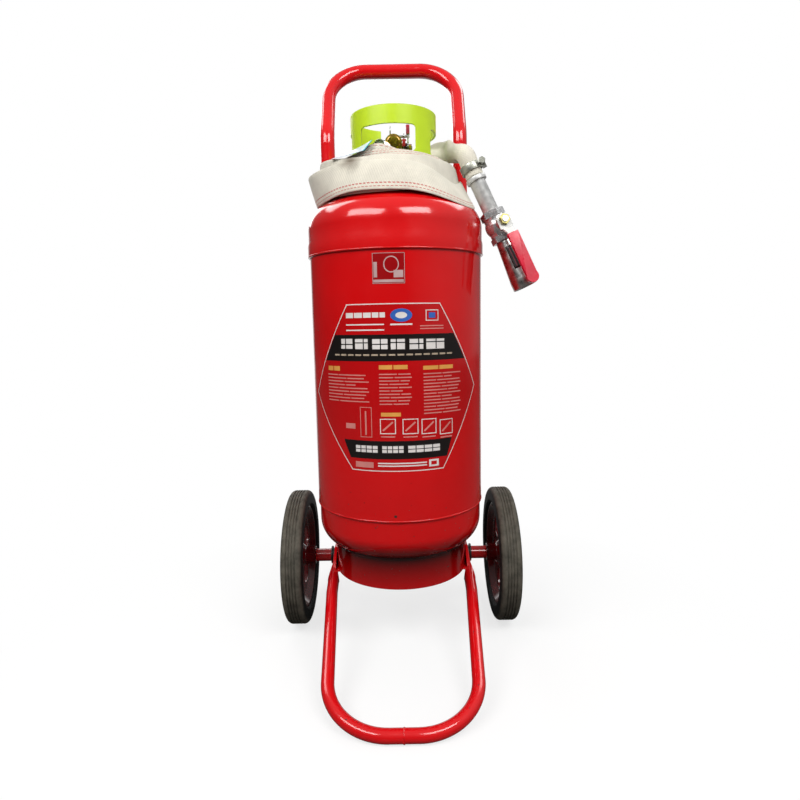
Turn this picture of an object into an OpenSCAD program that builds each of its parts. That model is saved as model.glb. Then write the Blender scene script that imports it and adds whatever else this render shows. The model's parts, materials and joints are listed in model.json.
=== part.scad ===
// Wheeled dry powder fire extinguisher: a welded steel tank on two wheels, with a tube
// handle behind it, a tube foot in front of it, a brass head valve inside a plastic guard
// and a lay-flat hose wound round the guard. X is to the right seen from the front, Y
// points to the rear and Z up. The origin lies on the ground, midway between front and back.

/* [Tank] */
// Outside diameter of the rolled barrel
barrel_d = 245; // [236:1:254]
// Wall of the barrel
barrel_wall = 2; // [1.5:0.25:3]
// Length of the barrel between its two edges
barrel_len = 369; // [330:1:400]
// Wall of the two pressed heads
head_wall = 2.5; // [2:0.25:3]
// How far the top head laps over the barrel
top_lap = 14.5; // [10:0.5:20]
// Straight flange of the top head above the barrel's edge
top_flange = 21; // [15:1:30]
// Height of the top head's dome above its flange
top_dome_h = 62; // [54:1:66]
// Knuckle radius of both domes
knuckle_r = 38; // [34:1:40]
// How far the bottom head reaches up inside the barrel
bottom_lap = 18; // [12:1:24]
// Straight flange of the bottom head below the barrel's edge
bottom_flange = 26; // [20:1:32]
// Depth of the bottom head's dome
bottom_dome_h = 61; // [54:1:66]

/* [Base skirt] */
// Outside diameter of the skirt ring under the tank
skirt_d = 196; // [186:1:198]
// Wall of the skirt ring
skirt_wall = 3; // [2:0.5:4]
// Height of the skirt's outer face, from its rim to the dome
skirt_h = 45; // [38:1:52]

/* [Axle and wheels] */
// Diameter of the axle rod
axle_d = 12; // [10:1:13]
// Distance of the axle behind the tank's centre line
axle_back = 48; // [42:1:54]
// Length of axle beyond each split pin
axle_tail = 4; // [3:0.5:8]
// Outside diameter of the tyres
wheel_d = 210; // [204:2:230]
// Width of the tyres
tyre_w = 31; // [28:1:36]
// Radial height of the rubber above the rim
tyre_h = 25; // [20:1:30]
// Depth of the tread grooves
groove_depth = 1.6; // [1:0.2:2.5]
// Number of tread grooves round each tyre
groove_count = 4; // [2:1:5]
// Thickness of the pressed wheel disc
disc_t = 4; // [3:0.5:6]
// Number of windows in the wheel disc
window_count = 5; // [4:1:6]
// Outside diameter of the wheel's hub tube
hub_d = 28; // [26:1:32]
// How far the hub reaches inwards from the wheel's middle plane
hub_in = 24; // [20:1:26]
// How far the hub reaches outwards from the wheel's middle plane
hub_out = 17; // [16:1:22]
// Wall of the plastic bush in the hub
bush_wall = 3; // [2:0.5:4]
// Outside diameter of the spacer sleeves
sleeve_d = 20; // [16:1:24]
// Length of the spacer sleeves, which set how far out the wheels stand
sleeve_len = 24.95; // [23.95:0.5:32.95]
// Diameter of the axle washers
washer_d = 28; // [22:1:32]
// Thickness of the axle washers
washer_t = 2.5; // [1.5:0.5:3.5]
// Diameter of the split pins
split_pin_d = 3; // [2:0.5:4]

/* [Tube frame] */
// Outside diameter of the handle's tube
tube_d = 22; // [20:1:24]
// Outside diameter of the foot loop's tube
foot_tube_d = 17; // [16:0.5:20]
// Wall of the tubes
tube_wall = 2; // [1.5:0.25:3]
// Distance of the handle's legs from the centre plane
handle_x = 103; // [96:1:108]
// Height of the top of the handle above the tank's crown
handle_rise = 230; // [200:0.5:260]
// Height of the handle's backward bend above the crown
handle_bend = 86; // [70:1:100]
// Backward lean of the handle above its bend, in degrees
handle_lean = 30; // [15:1:40]
// Radius of the backward bend
lean_r = 50; // [35:1:70]
// Radius of the handle's two top corners
handle_corner_r = 60; // [45:1:70]
// How far the handle's legs reach down the barrel from its top edge
handle_leg_down = 94; // [70:1:150]
// Distance of the foot bar in front of the tank's centre line
foot_reach = 254; // [240:1:300]
// Radius of the foot loop's two corners
foot_corner_r = 78; // [50:1:80]
// How far each leg of the foot loop turns inwards, in degrees
foot_toe = 3.5; // [0:0.5:6]
// Thickness of the flattened ends of the foot loop
flat_t = 6.5; // [5:0.5:8]
// Width of the flattened ends
flat_w = 25; // [24:1:32]
// Thickness of the lugs that tie axle, foot loop and skirt together
lug_t = 3.5; // [3:0.5:5]
// Height of the lugs above the axle's centre
lug_rise = 35; // [25:1:38]

/* [Neck and guard] */
// Height of the neck ring above the crown
neck_h = 19; // [15:1:24]
// Outside diameter of the neck ring
neck_d = 64; // [56:1:72]
// Diameter of the threaded neck opening
neck_bore = 36; // [32:1:38]
// Outside diameter of the plastic valve guard
guard_d = 120; // [116:1:124]
// Wall of the guard
guard_wall = 3; // [2.5:0.5:4]
// Overall height of the guard
guard_h = 75; // [70:1:90]
// Height of the guard's closed top ring
guard_ring_h = 24; // [18:1:28]
// Height of the sill under the guard's windows
guard_sill = 17; // [12:1:20]
// Turn of the guard about the neck, in degrees
guard_turn = -8.4; // [-20:0.1:20]
// Corner radius of the guard's windows
guard_corner_r = 5; // [2:1:6]

/* [Head valve] */
// Height of the valve's outlet axis above the neck ring
outlet_rise = 39; // [38:1:42]
// Radius of the valve's body round riser and outlet
valve_r = 12; // [11.5:0.5:13]
// Radius of the ball in the head valve
head_ball_r = 8.5; // [7.5:0.25:8.5]
// Radius of the passage through the head valve
head_bore_r = 5.5; // [4:0.5:5.5]
// Distance of the ball behind the tank's centre line
head_ball_back = 14; // [13:0.5:16]
// Radius of the head valve's stem
head_stem_r = 3; // [2.5:0.25:3.5]
// Length of the head valve's lever above its stem
head_lever_len = 31; // [28:1:36]
// Width of the head valve's lever
head_lever_w = 11; // [9:0.5:12]
// Radius of the safety pin
pin_r = 1.75; // [1.5:0.05:2]
// Height of the safety pin above the stem
pin_rise = 14.5; // [14.2:0.1:16]
// Travel of the safety pin when it is pulled
pin_travel = 45; // [40:1:48]
// Radius of the pull ring's wire circle
pull_ring_r = 7; // [6.5:0.5:9]
// Radius of the pressure gauge's case
gauge_r = 13; // [11:0.5:14]
// Height of the gauge's centre above the neck ring
gauge_rise = 28; // [26:1:30]
// Direction of the gauge from the front towards the left, in degrees
gauge_turn = 40; // [30:1:50]
// Height of the dip tube's foot above the inside of the bottom head
dip_gap = 15; // [8:1:30]
// Outside diameter of the dip tube
dip_d = 22; // [18:1:24]

/* [Hose and nozzle] */
// Outside diameter of the hose where it is round
hose_d = 28; // [27:0.5:29]
// Inner radius of the wound hose
coil_in_r = 64; // [63:1:66]
// Outer radius of the wound hose at its foot
coil_foot_r = 108; // [104:1:109]
// Outer radius of the wound hose at its top
coil_top_r = 95; // [92:1:96]
// How much higher the inner turns stand than the outer ones
coil_rise = 20; // [0:1:22]
// Diameter of the nozzle's pipe
pipe_d = 22; // [20:1:24]
// Distance from the hose clamp to the nozzle's ball valve
nozzle_valve_at = 94; // [84:1:98]
// Radius of the ball in the nozzle's valve
nozzle_ball_r = 12; // [11:0.5:12.5]
// Radius of the passage through the nozzle
nozzle_bore_r = 8.5; // [7:0.5:9]
// Radius of the nozzle valve's stem
nozzle_stem_r = 4; // [3.5:0.25:4.5]
// Length of the nozzle's lever beyond its stem
nozzle_lever_len = 92; // [80:1:98]
// Width of the nozzle's lever arm
nozzle_lever_w = 13; // [11:0.5:14]
// Outward step of the nozzle's lever
nozzle_lever_step = 8; // [6:0.5:10]
// Radius of the nozzle barrel's mouth outside
mouth_r = 17; // [16:0.5:18]
// Wall of the nozzle barrel at its mouth
mouth_wall = 1.5; // [1.25:0.25:2]
// Depth of the straight bore in the mouth
mouth_depth = 12; // [8:1:16]

/* [Card] */
// Length of the inspection card
card_l = 62; // [56:1:76]
// Width of the inspection card
card_w = 32; // [26:1:33]
// Thickness of the card's solid
card_t = 1; // [0.8:0.1:1.5]

/* [Hidden] */

$fn = 64;
weld_gap = 0.05;     // between welded or screwed pieces
run_gap = 0.05;      // radial clearance of shafts that turn
rest_gap = 0.3;      // between moving faces and under soft pieces
cut = 1;             // how far a cutting shape runs past a face
bend_swell = 0.05;   // how much a bend's tube is fatter than the straight tube
bend_overlap = 0.5;  // how far a straight tube reaches into a bend

paint_red = "#d81a22";
tyre_black = "#2b2b2a";
zinc = "#b9bcbd";
brass = "#b8963e";
chrome = "#cfd2d4";
vinyl_red = "#e0233c";
lime = "#c4dc28";
canvas = "#d8cfbc";
white_plastic = "#eeeeea";

// Heights, from the ground upwards
axle_r = axle_d / 2;
axle_z = wheel_d / 2;
skirt_r = skirt_d / 2;
skirt_z = axle_z + axle_r + weld_gap;
barrel_r = barrel_d / 2;
bottom_r = barrel_r - barrel_wall - weld_gap;
bottom_tangent_z = skirt_z + skirt_h + weld_gap + dome_drop(bottom_r, bottom_dome_h, skirt_r);
barrel_z = bottom_tangent_z + bottom_flange;
barrel_top_z = barrel_z + barrel_len;
joggle_r = barrel_r + weld_gap + head_wall;
top_r = joggle_r - head_wall / 2;
top_tangent_z = barrel_top_z + top_flange;
crown_z = top_tangent_z + top_dome_h;
neck_top_z = crown_z + neck_h;
neck_r = neck_d / 2;
neck_bore_r = neck_bore / 2;

// The frame of tubes
tube_r = tube_d / 2;
foot_r = foot_tube_d / 2;
foot_drop = axle_z - foot_r;
foot_run = foot_reach + axle_back;
foot_slope = atan(foot_drop / foot_run);
foot_leg = norm([foot_run, foot_drop]);
flat_len = 38;
flat_taper = 26;
handle_y = sqrt(pow(joggle_r + tube_r + rest_gap, 2) - pow(handle_x, 2));
handle_bend_z = crown_z + handle_bend;
handle_bar_z = crown_z + handle_rise - tube_r;
handle_slant = (handle_bar_z - handle_bend_z - lean_r * sin(handle_lean)) / cos(handle_lean);
handle_back = handle_y + lean_r * (1 - cos(handle_lean)) + handle_slant * sin(handle_lean);

// The tank's centre line stands behind or before the middle of the whole footprint
front_y = -foot_reach - foot_r;
back_y = max(handle_back + tube_r, axle_back + axle_z);
tank_y = -(front_y + back_y) / 2;

// Places along the axle, counted outwards from the centre plane
lug_x = skirt_r + weld_gap;
flat_x = lug_x + lug_t + weld_gap;
foot_x = flat_x + flat_t / 2;
inner_washer_x = flat_x + flat_t + weld_gap;
thrust_washer_x = inner_washer_x + washer_t + weld_gap;
sleeve_x = thrust_washer_x + washer_t + weld_gap;
hub_start_x = sleeve_x + sleeve_len + rest_gap;
wheel_x = hub_start_x + hub_in;
hub_end_x = wheel_x + hub_out;
outer_washer_x = hub_end_x + rest_gap;
split_pin_x = outer_washer_x + washer_t + split_pin_d / 2 + rest_gap;
axle_end_x = split_pin_x + split_pin_d / 2 + axle_tail;
rim_r = axle_z - tyre_h;
bush_r = axle_r + run_gap + bush_wall;

// The foot loop's round part: where it starts, its corners and half of its bar
foot_kink = flat_len + flat_taper + 22;
foot_turn = 90 - foot_toe;
foot_tangent = foot_corner_r * tan(foot_turn / 2);
foot_straight = (foot_leg - foot_kink) / cos(foot_toe) - foot_tangent;
foot_bar_half = foot_x - (foot_leg - foot_kink) * tan(foot_toe) - foot_tangent;

// The head valve
valve_z = neck_top_z + outlet_rise;
valve_seat_z = neck_top_z + guard_wall + 2 * weld_gap;
hex_h = 10;
chamber_front = valve_r + 2;
pocket_r = head_ball_r + 0.2;
head_seat_len = 5;
pocket_front = head_ball_back - head_ball_r - 2;
seat_end = head_ball_back + head_ball_r + 2;
chamber_end = seat_end + 5.5;
boss_x = 14;
bracket_t = 1.5;
bracket_x = boss_x + weld_gap;
gland_x = bracket_x + bracket_t + weld_gap;
gland_t = 3.7;
head_lever_x = gland_x + gland_t + run_gap;
head_lever_t = 2.5;
head_nut_x = head_lever_x + head_lever_t + weld_gap;
head_nut_t = 4;
pin_y = head_ball_back - head_lever_w / 2;
pin_z = valve_z + pin_rise;
pin_reach = norm([head_lever_w / 2, pin_rise]);
pin_turn = atan2(pin_rise, -head_lever_w / 2);
seal_hole = (pin_reach - 5.6) * [cos(pin_turn), sin(pin_turn)] + 1.2 * [-sin(pin_turn), cos(pin_turn)];
eye_r = 3.1;
eye_x = -4.5;
ring_wire_r = 0.8;
ring_rise = valve_z + valve_r + ring_wire_r + 0.1 + pull_ring_r - pin_z;
ring_tilt = asin(min(1, ring_rise / pull_ring_r));
barb_hex_end = chamber_end + 6;
barb_end = 84;
barb_start = 60;
hose_r = hose_d / 2;
barb_r = hose_r - 2;
inlet_screw_len = 20;
hose_screw_len = 26;
gauge_face = 33;
gauge_back = 21;
gauge_port = 18.5;

// The guard
guard_r = guard_d / 2;
guard_top_z = neck_top_z + guard_h;
side_window_turn = 98.2;
front_window_half = 40;     // degrees on each side of a window's middle
side_window_half = 34.8;
back_gap_half = 28;

// The nozzle hangs from the hose clamp: its axis runs from nozzle_top to nozzle_mouth
nozzle_top = [105, -20, 694];
nozzle_mouth = [180, -40, 525];
nozzle_len = norm(nozzle_mouth - nozzle_top);
nozzle_dir = (nozzle_mouth - nozzle_top) / nozzle_len;
nozzle_yaw = atan2(nozzle_dir.y, nozzle_dir.x);
nozzle_tilt = acos(nozzle_dir.z);
nozzle_roll = 244;
pipe_r = pipe_d / 2;
pipe_tail = -12;
clamp_at = 6;
clamp_turn = -64;
cuff_end = 20;
collar_r = 14;
collar_h = 6;
valve_half = 22;
nozzle_body_start = nozzle_valve_at - valve_half;
nozzle_pocket_r = nozzle_ball_r + 0.2;
nozzle_pocket_start = nozzle_valve_at - nozzle_ball_r;
nozzle_body_end = nozzle_valve_at + nozzle_ball_r + 2;
nozzle_cap_end = nozzle_body_end + 8;
nozzle_hex_af = 2 * nozzle_pocket_r + 5.5;
nozzle_boss_x = 20;
nozzle_gland_x = nozzle_boss_x + weld_gap;
nozzle_gland_t = 4;
nozzle_lever_x = nozzle_gland_x + nozzle_gland_t + run_gap;
nozzle_lever_t = 2.5;
nozzle_nut_x = nozzle_lever_x + nozzle_lever_t + weld_gap;
nozzle_nut_t = 5;
nozzle_stem_end = nozzle_nut_x + nozzle_nut_t + 1.5;
nozzle_grip_t = 1.3;
nozzle_plate_len = 11;
nozzle_barrel_start = nozzle_cap_end - 4;

// The wound hose slopes up from its outer top edge to its inner one
coil_top_z = neck_top_z - 1;
coil_slope = atan(coil_rise / (coil_top_r - coil_in_r));

// The card's outer edge lies this far from the tank's centre line, its middle this far off to the
// left, and its right end is lifted by some degrees
card_reach = coil_top_r - 3;
card_shift = 17;
card_turn = -27.6;
card_lift = 7;
card_rest = pow(tan(card_lift), 2) * card_reach / (2 * tan(coil_slope));

// Hose routes, measured from the tank's centre line
inlet_route = [[0, 62, 727], [0, 76, 727], [-3, 92, 726], [-16, 104, 720], [-36, 104, 711],
    [-56, 92, 704], [-72, 72, 703]];
lead_route = [[36, 84, 708], [44, 70, 725], [51, 55, 735], [64, 40, 731], [76, 25, 725], [88, 8, 717]];

// Height that a torispherical dome of radius r and height h loses at radius x
function crown_r(r, h) = (pow(r - knuckle_r, 2) + h * h - knuckle_r * knuckle_r) / (2 * (h - knuckle_r));
function tangent_x(r, h) = (r - knuckle_r) * crown_r(r, h) / (crown_r(r, h) - knuckle_r);
function dome_drop(r, h, x) = x < tangent_x(r, h)
    ? sqrt(pow(crown_r(r, h), 2) - x * x) + h - crown_r(r, h)
    : sqrt(pow(knuckle_r, 2) - pow(x - r + knuckle_r, 2));
function dome_z(x) = top_tangent_z + dome_drop(top_r, top_dome_h, x);
// Points of an arc round a centre, from one angle to another
function arc(centre, r, from, to, steps) =
    [for (i = [0:steps]) centre + r * [cos(from + (to - from) * i / steps),
                                       sin(from + (to - from) * i / steps)]];
// Outline of a dome's surface from its rim to its pole, offset inwards by a wall
function dome_line(r, h, wall) =
    let (rc = crown_r(r, h), split = atan2(rc - h, r - knuckle_r))
    concat(arc([r - knuckle_r, 0], knuckle_r - wall, 0, split, 12),
           [for (i = [1:18]) [0, h - rc] + (rc - wall) * [cos(split + (90 - split) * i / 18),
                                                          sin(split + (90 - split) * i / 18)]]);
function flip(points) = [for (i = [len(points) - 1:-1:0]) points[i]];
function on_nozzle(s) = nozzle_top + s * nozzle_dir;
// Catmull-Rom curve through a route, with a number of steps a span
function spline_point(p0, p1, p2, p3, t) = 0.5 * ((2 * p1) + (p2 - p0) * t
    + (2 * p0 - 5 * p1 + 4 * p2 - p3) * t * t + (3 * p1 - p0 - 3 * p2 + p3) * t * t * t);
function smooth(route, steps) = let (n = len(route)) [for (i = [0:n - 2], j = [0:steps - 1])
    spline_point(route[max(i - 1, 0)], route[i], route[i + 1], route[min(i + 2, n - 1)], j / steps),
    route[n - 1]];
function unit(v) = v / norm(v);
function heading(path, i) = unit(path[min(i + 1, len(path) - 1)] - path[max(i - 1, 0)]);

module at_tank() {
    translate([0, tank_y, 0]) children();
}

module both_sides() {
    for (side = [0, 1]) mirror([side, 0, 0]) children();
}

// A ring along Z, with its bore
module ring(outer, bore, h) {
    difference() {
        cylinder(h = h, r = outer);
        translate([0, 0, -cut]) cylinder(h = h + 2 * cut, r = bore);
    }
}

// A hexagon prism along Z, measured across its flats
module hexagon(flats, h) {
    cylinder(h = h, r = flats / sqrt(3), $fn = 6);
}

module hex_ring(flats, bore, h) {
    difference() {
        hexagon(flats, h);
        translate([0, 0, -cut]) cylinder(h = h + 2 * cut, r = bore);
    }
}

// Turns Z to +X, for what lies along the axle or a stem
module along_x(x) {
    translate([x, 0, 0]) rotate([0, 90, 0]) children();
}

// Turns Z to +Y, for what lies along the outlet
module along_y(y) {
    translate([0, y, 0]) rotate([-90, 0, 0]) children();
}

// A bend from +Z towards +X that starts at the origin, a hair fatter than the straight tube
module pipe_bend(bend_r, angle, r) {
    translate([bend_r, 0, 0]) rotate([90, 0, 0]) rotate([0, 0, 180 - angle])
        rotate_extrude(angle = angle) translate([bend_r, 0]) circle(r = r + bend_swell);
}

// A straight tube from the origin that reaches a little into the bends at both ends
module pipe(len, r) {
    translate([0, 0, -bend_overlap]) cylinder(h = len + 2 * bend_overlap, r = r);
}

// Places children at the end of such a bend, heading on
module after_bend(bend_r, angle) {
    translate([bend_r * (1 - cos(angle)), 0, bend_r * sin(angle)]) rotate([0, angle, 0]) children();
}

// A tube of a round hose, swept through the points of a path
module hose(path, r, sides = 12) {
    n = len(path);
    points = [for (i = [0:n - 1]) let (t = heading(path, i), u = unit(cross([0, 0, 1], t)), v = cross(t, u))
        for (k = [0:sides - 1]) path[i] + r * (cos(360 * k / sides) * u + sin(360 * k / sides) * v)];
    walls = [for (i = [0:n - 2], k = [0:sides - 1])
        [i * sides + k, (i + 1) * sides + k, (i + 1) * sides + (k + 1) % sides, i * sides + (k + 1) % sides]];
    polyhedron(points, concat(walls, [[for (k = [0:sides - 1]) k],
        [for (k = [sides - 1:-1:0]) (n - 1) * sides + k]]));
}

// ---- Tank ----

module bottom_head() {
    flange = bottom_flange + bottom_lap;
    outer = dome_line(bottom_r, bottom_dome_h, 0);
    inner = dome_line(bottom_r, bottom_dome_h, head_wall);
    color(paint_red) at_tank() translate([0, 0, bottom_tangent_z]) rotate_extrude($fn = 128)
        polygon([for (p = concat([[bottom_r, -flange]], outer, flip(inner),
                                 [[bottom_r - head_wall, -flange]])) [max(p.x, 0), -p.y]]);
}

module barrel() {
    color(paint_red) at_tank() translate([0, 0, barrel_z])
        ring(barrel_r, barrel_r - barrel_wall, barrel_len, $fn = 128);
}

// The head's lip is belled out over the barrel and steps in above the barrel's edge
module top_head() {
    lip = -top_flange - top_lap;
    step = -top_flange + weld_gap;
    outer = dome_line(top_r, top_dome_h, 0);
    inner = dome_line(top_r, top_dome_h, head_wall);
    color(paint_red) at_tank() translate([0, 0, top_tangent_z]) difference() {
        rotate_extrude($fn = 128)
            polygon([for (p = concat(
                [[joggle_r - head_wall, lip], [joggle_r, lip], [joggle_r, step],
                 [top_r, step + 2 * head_wall]],
                outer, flip(inner),
                [[top_r - head_wall, step], [joggle_r - head_wall, step]])) [max(p.x, 0), p.y]]);
        translate([0, 0, top_dome_h - 2 * head_wall]) cylinder(h = 3 * head_wall, r = neck_bore_r);
    }
}

module base_skirt() {
    top = function(x) skirt_z + skirt_h
        + dome_drop(bottom_r, bottom_dome_h, skirt_r) - dome_drop(bottom_r, bottom_dome_h, x);
    color(paint_red) at_tank() rotate_extrude($fn = 128)
        polygon([[skirt_r - skirt_wall, skirt_z], [skirt_r, skirt_z], [skirt_r, top(skirt_r)],
                 [skirt_r - skirt_wall, top(skirt_r - skirt_wall)]]);
}

module neck_ring() {
    groove = 2.8;
    foot = [for (i = [0:7]) let (x = neck_bore_r + (neck_r - neck_bore_r) * i / 7)
        [x, dome_z(x) + weld_gap]];
    color(paint_red) at_tank() rotate_extrude($fn = 128)
        polygon(concat(foot, [[neck_r, neck_top_z - 2], [neck_r - 2, neck_top_z],
                              [neck_bore_r + groove, neck_top_z],
                              [neck_bore_r + groove, neck_top_z - groove],
                              [neck_bore_r, neck_top_z - groove]]));
}

// ---- Handle and foot ----

// The handle's whole run as a rod of radius r: two legs, their bends and corners, and the bar
module handle_run(r, extra) {
    leg = handle_bend_z - barrel_top_z + handle_leg_down;
    slant = handle_slant - handle_corner_r;
    bar_half = handle_x - handle_corner_r;
    both_sides() translate([handle_x, handle_y, handle_bend_z]) {
        translate([0, 0, -leg - extra]) cylinder(h = leg + extra + bend_overlap, r = r);
        rotate([0, 0, 90]) {
            pipe_bend(lean_r, handle_lean, r);
            after_bend(lean_r, handle_lean) {
                pipe(slant, r);
                translate([0, 0, slant]) rotate([0, 0, 90]) pipe_bend(handle_corner_r, 90, r);
            }
        }
    }
    translate([0, handle_back, handle_bar_z]) along_x(-bar_half) pipe(2 * bar_half, r);
}

module handle_loop() {
    color(paint_red) at_tank() difference() {
        handle_run(tube_r, 0);
        handle_run(tube_r - tube_wall, cut);
    }
}

// Fillet welds that fill the wedges between the handle's legs and the barrel
module handle_welds() {
    weld_h = 30;
    away = atan2(handle_y, handle_x);
    color(paint_red) at_tank() both_sides() for (z = [barrel_top_z - handle_leg_down + 8,
                                                      barrel_top_z - top_lap - weld_h - 2])
        translate([0, 0, z]) difference() {
            rotate([0, 0, away]) translate([barrel_r - 1, -5, 0]) cube([7, 10, weld_h]);
            translate([0, 0, -cut]) cylinder(h = weld_h + 2 * cut, r = barrel_r + weld_gap, $fn = 1440);
            translate([handle_x, handle_y, -cut])
                cylinder(h = weld_h + 2 * cut, r = tube_r + weld_gap, $fn = 360);
        }
}

// Places children on each leg of the foot loop, with Z from the axle down to the bar
module at_foot_leg() {
    both_sides() translate([foot_x, axle_back, axle_z]) rotate([foot_slope + 90, 0, 0]) children();
}

// Places children where a leg turns inwards, with Z along the rest of the leg
module at_foot_tube() {
    at_foot_leg() translate([0, 0, foot_kink]) rotate([0, -foot_toe, 0]) children();
}

// A leg's flattened end: an eye on the axle, the flat, its taper and the start of the tube
module foot_flat_end() {
    round_from = flat_len + flat_taper;
    half = flat_t / 2;
    wide = foot_r + cut;
    intersection() {
        rotate_extrude() polygon([[0, 0], [flat_w / 2, 0], [flat_w / 2, flat_len],
                                  [foot_r, round_from], [foot_r, foot_kink], [0, foot_kink]]);
        rotate([90, 0, 0]) translate([0, 0, -flat_w]) linear_extrude(2 * flat_w)
            polygon([[-half, -cut], [half, -cut], [half, flat_len], [wide, round_from],
                     [wide, foot_kink + cut], [-wide, foot_kink + cut], [-wide, round_from],
                     [-half, flat_len]]);
    }
    along_x(-half) cylinder(h = flat_t, r = flat_w / 2 + 0.6);
}

// The round part of the loop as a rod of radius r: both legs, the corners and the bar
module foot_run_round(r) {
    at_foot_tube() {
        sphere(r = r + bend_swell);
        cylinder(h = foot_straight + bend_overlap, r = r);
        translate([0, 0, foot_straight]) rotate([0, 0, 180]) pipe_bend(foot_corner_r, foot_turn, r);
    }
    translate([0, -foot_reach, foot_r]) along_x(-foot_bar_half) pipe(2 * foot_bar_half, r);
}

module foot_loop() {
    inside = foot_r - tube_wall;
    hollow_from = flat_len + flat_taper + 4;
    color(paint_red) at_tank() difference() {
        union() {
            at_foot_leg() foot_flat_end();
            foot_run_round(foot_r);
        }
        at_foot_leg() translate([0, 0, hollow_from])
            cylinder(h = foot_kink - hollow_from, r = inside);
        foot_run_round(inside);
        at_foot_leg() along_x(-tube_r) cylinder(h = tube_d, r = axle_r + run_gap);
    }
}

// Each lug is a plate welded to the side of the skirt, with a web to the skirt's rim
module axle_lugs() {
    lug_r = 16;
    lug_front = 34;
    top_z = axle_z + lug_rise;
    color(paint_red) at_tank() both_sides() {
        difference() {
            translate([lug_x, 0, 0]) rotate([90, 0, 90]) linear_extrude(lug_t) union() {
                translate([axle_back, axle_z]) circle(r = lug_r);
                polygon([[-lug_front, skirt_z], [-lug_front, skirt_z + 6], [-8, top_z],
                         [axle_back, top_z], [axle_back + lug_r, axle_z], [axle_back, axle_z - lug_r],
                         [20, skirt_z]]);
            }
            translate([0, axle_back, axle_z]) along_x(lug_x - cut)
                cylinder(h = lug_t + 2 * cut, r = axle_r + run_gap);
        }
        translate([0, 0, skirt_z]) linear_extrude(skirt_wall) difference() {
            translate([skirt_r - 12, -lug_front]) square([12 + weld_gap, 2 * lug_front]);
            circle(r = skirt_r + weld_gap, $fn = 128);
        }
    }
}

// ---- Axle and wheels ----

module axle() {
    color(zinc) at_tank() translate([0, axle_back, axle_z]) difference() {
        along_x(-axle_end_x) cylinder(h = 2 * axle_end_x, r = axle_r);
        for (side = [-1, 1]) translate([side * split_pin_x, 0, -axle_r - cut])
            cylinder(h = axle_d + 2 * cut, r = split_pin_d / 2 + weld_gap);
    }
}

module axle_washers() {
    color(zinc) at_tank() both_sides() translate([0, axle_back, axle_z])
        for (x = [inner_washer_x, thrust_washer_x, outer_washer_x])
            along_x(x) ring(x == thrust_washer_x ? washer_d / 2 : washer_d / 2 - 3,
                            axle_r + run_gap, washer_t);
}

module spacer_sleeves() {
    color(paint_red) at_tank() both_sides() translate([0, axle_back, axle_z]) along_x(sleeve_x)
        ring(sleeve_d / 2, axle_r + run_gap, sleeve_len);
}

module split_pins() {
    eye = split_pin_d;
    color(zinc) at_tank() both_sides() translate([split_pin_x, axle_back, axle_z]) {
        translate([0, 0, -axle_r - 5]) cylinder(h = axle_d + 8, r = split_pin_d / 2);
        translate([0, 0, axle_r + 3 + eye * 0.7]) rotate([0, 90, 0]) rotate_extrude()
            translate([eye, 0]) circle(r = split_pin_d / 3, $fn = 24);
    }
}

// Outline of the tyre from bead to tread, with rounded shoulders and its grooves
module tyre_section() {
    shoulder = 7;
    side = tyre_w / 2;
    pitch = (tyre_w - 2 * shoulder) / groove_count;
    difference() {
        polygon(concat([[rim_r + rest_gap, -side + 3], [rim_r + 4, -side]],
            flip([for (p = arc([axle_z - shoulder, side - shoulder], shoulder, 0, 90, 6)) [p.x, -p.y]]),
            arc([axle_z - shoulder, side - shoulder], shoulder, 0, 90, 6),
            [[rim_r + 4, side], [rim_r + rest_gap, side - 3]]));
        for (i = [0:groove_count - 1])
            translate([axle_z - groove_depth, -side + shoulder + (i + 0.5) * pitch - 1])
                square([groove_depth + cut, 2]);
    }
}

module tyre(side) {
    color(tyre_black) at_tank() translate([side * wheel_x, axle_back, axle_z]) rotate([0, 90, 0])
        rotate_extrude($fn = 128) tyre_section();
}

// The wheel disc turns over into the seat under the tyre, and its hub tube runs through it
module rim(side) {
    lip = 3;
    seat = tyre_w / 2 - 4;
    window_r = (rim_r + hub_d / 2) / 2 - 1;
    color(paint_red) at_tank() translate([side * wheel_x, axle_back, axle_z])
        rotate([0, side * 90, 0]) difference() {
            rotate_extrude($fn = 128) polygon([[bush_r + weld_gap, -hub_in], [hub_d / 2, -hub_in],
                [hub_d / 2, -disc_t / 2 - 6], [hub_d / 2 + 6, -disc_t / 2], [rim_r - 12, -disc_t / 2],
                [rim_r - lip, -seat], [rim_r, -seat], [rim_r, seat], [rim_r - lip, seat],
                [rim_r - 12, disc_t / 2], [hub_d / 2 + 6, disc_t / 2], [hub_d / 2, disc_t / 2 + 6],
                [hub_d / 2, hub_out], [bush_r + weld_gap, hub_out]]);
            for (i = [0:window_count - 1]) rotate([0, 0, 360 * i / window_count])
                translate([window_r, 0, -seat]) cylinder(h = 2 * seat, r = (window_r - hub_d / 2) * 0.62);
        }
}

module bush(side) {
    color(white_plastic) at_tank() translate([side * wheel_x, axle_back, axle_z])
        rotate([0, side * 90, 0]) translate([0, 0, -hub_in])
            ring(bush_r, axle_r + run_gap, hub_in + hub_out);
}

module left_tyre() { tyre(-1); }
module right_tyre() { tyre(1); }
module left_rim() { rim(-1); }
module right_rim() { rim(1); }
module left_bush() { bush(-1); }
module right_bush() { bush(1); }

// ---- Head valve ----

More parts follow.
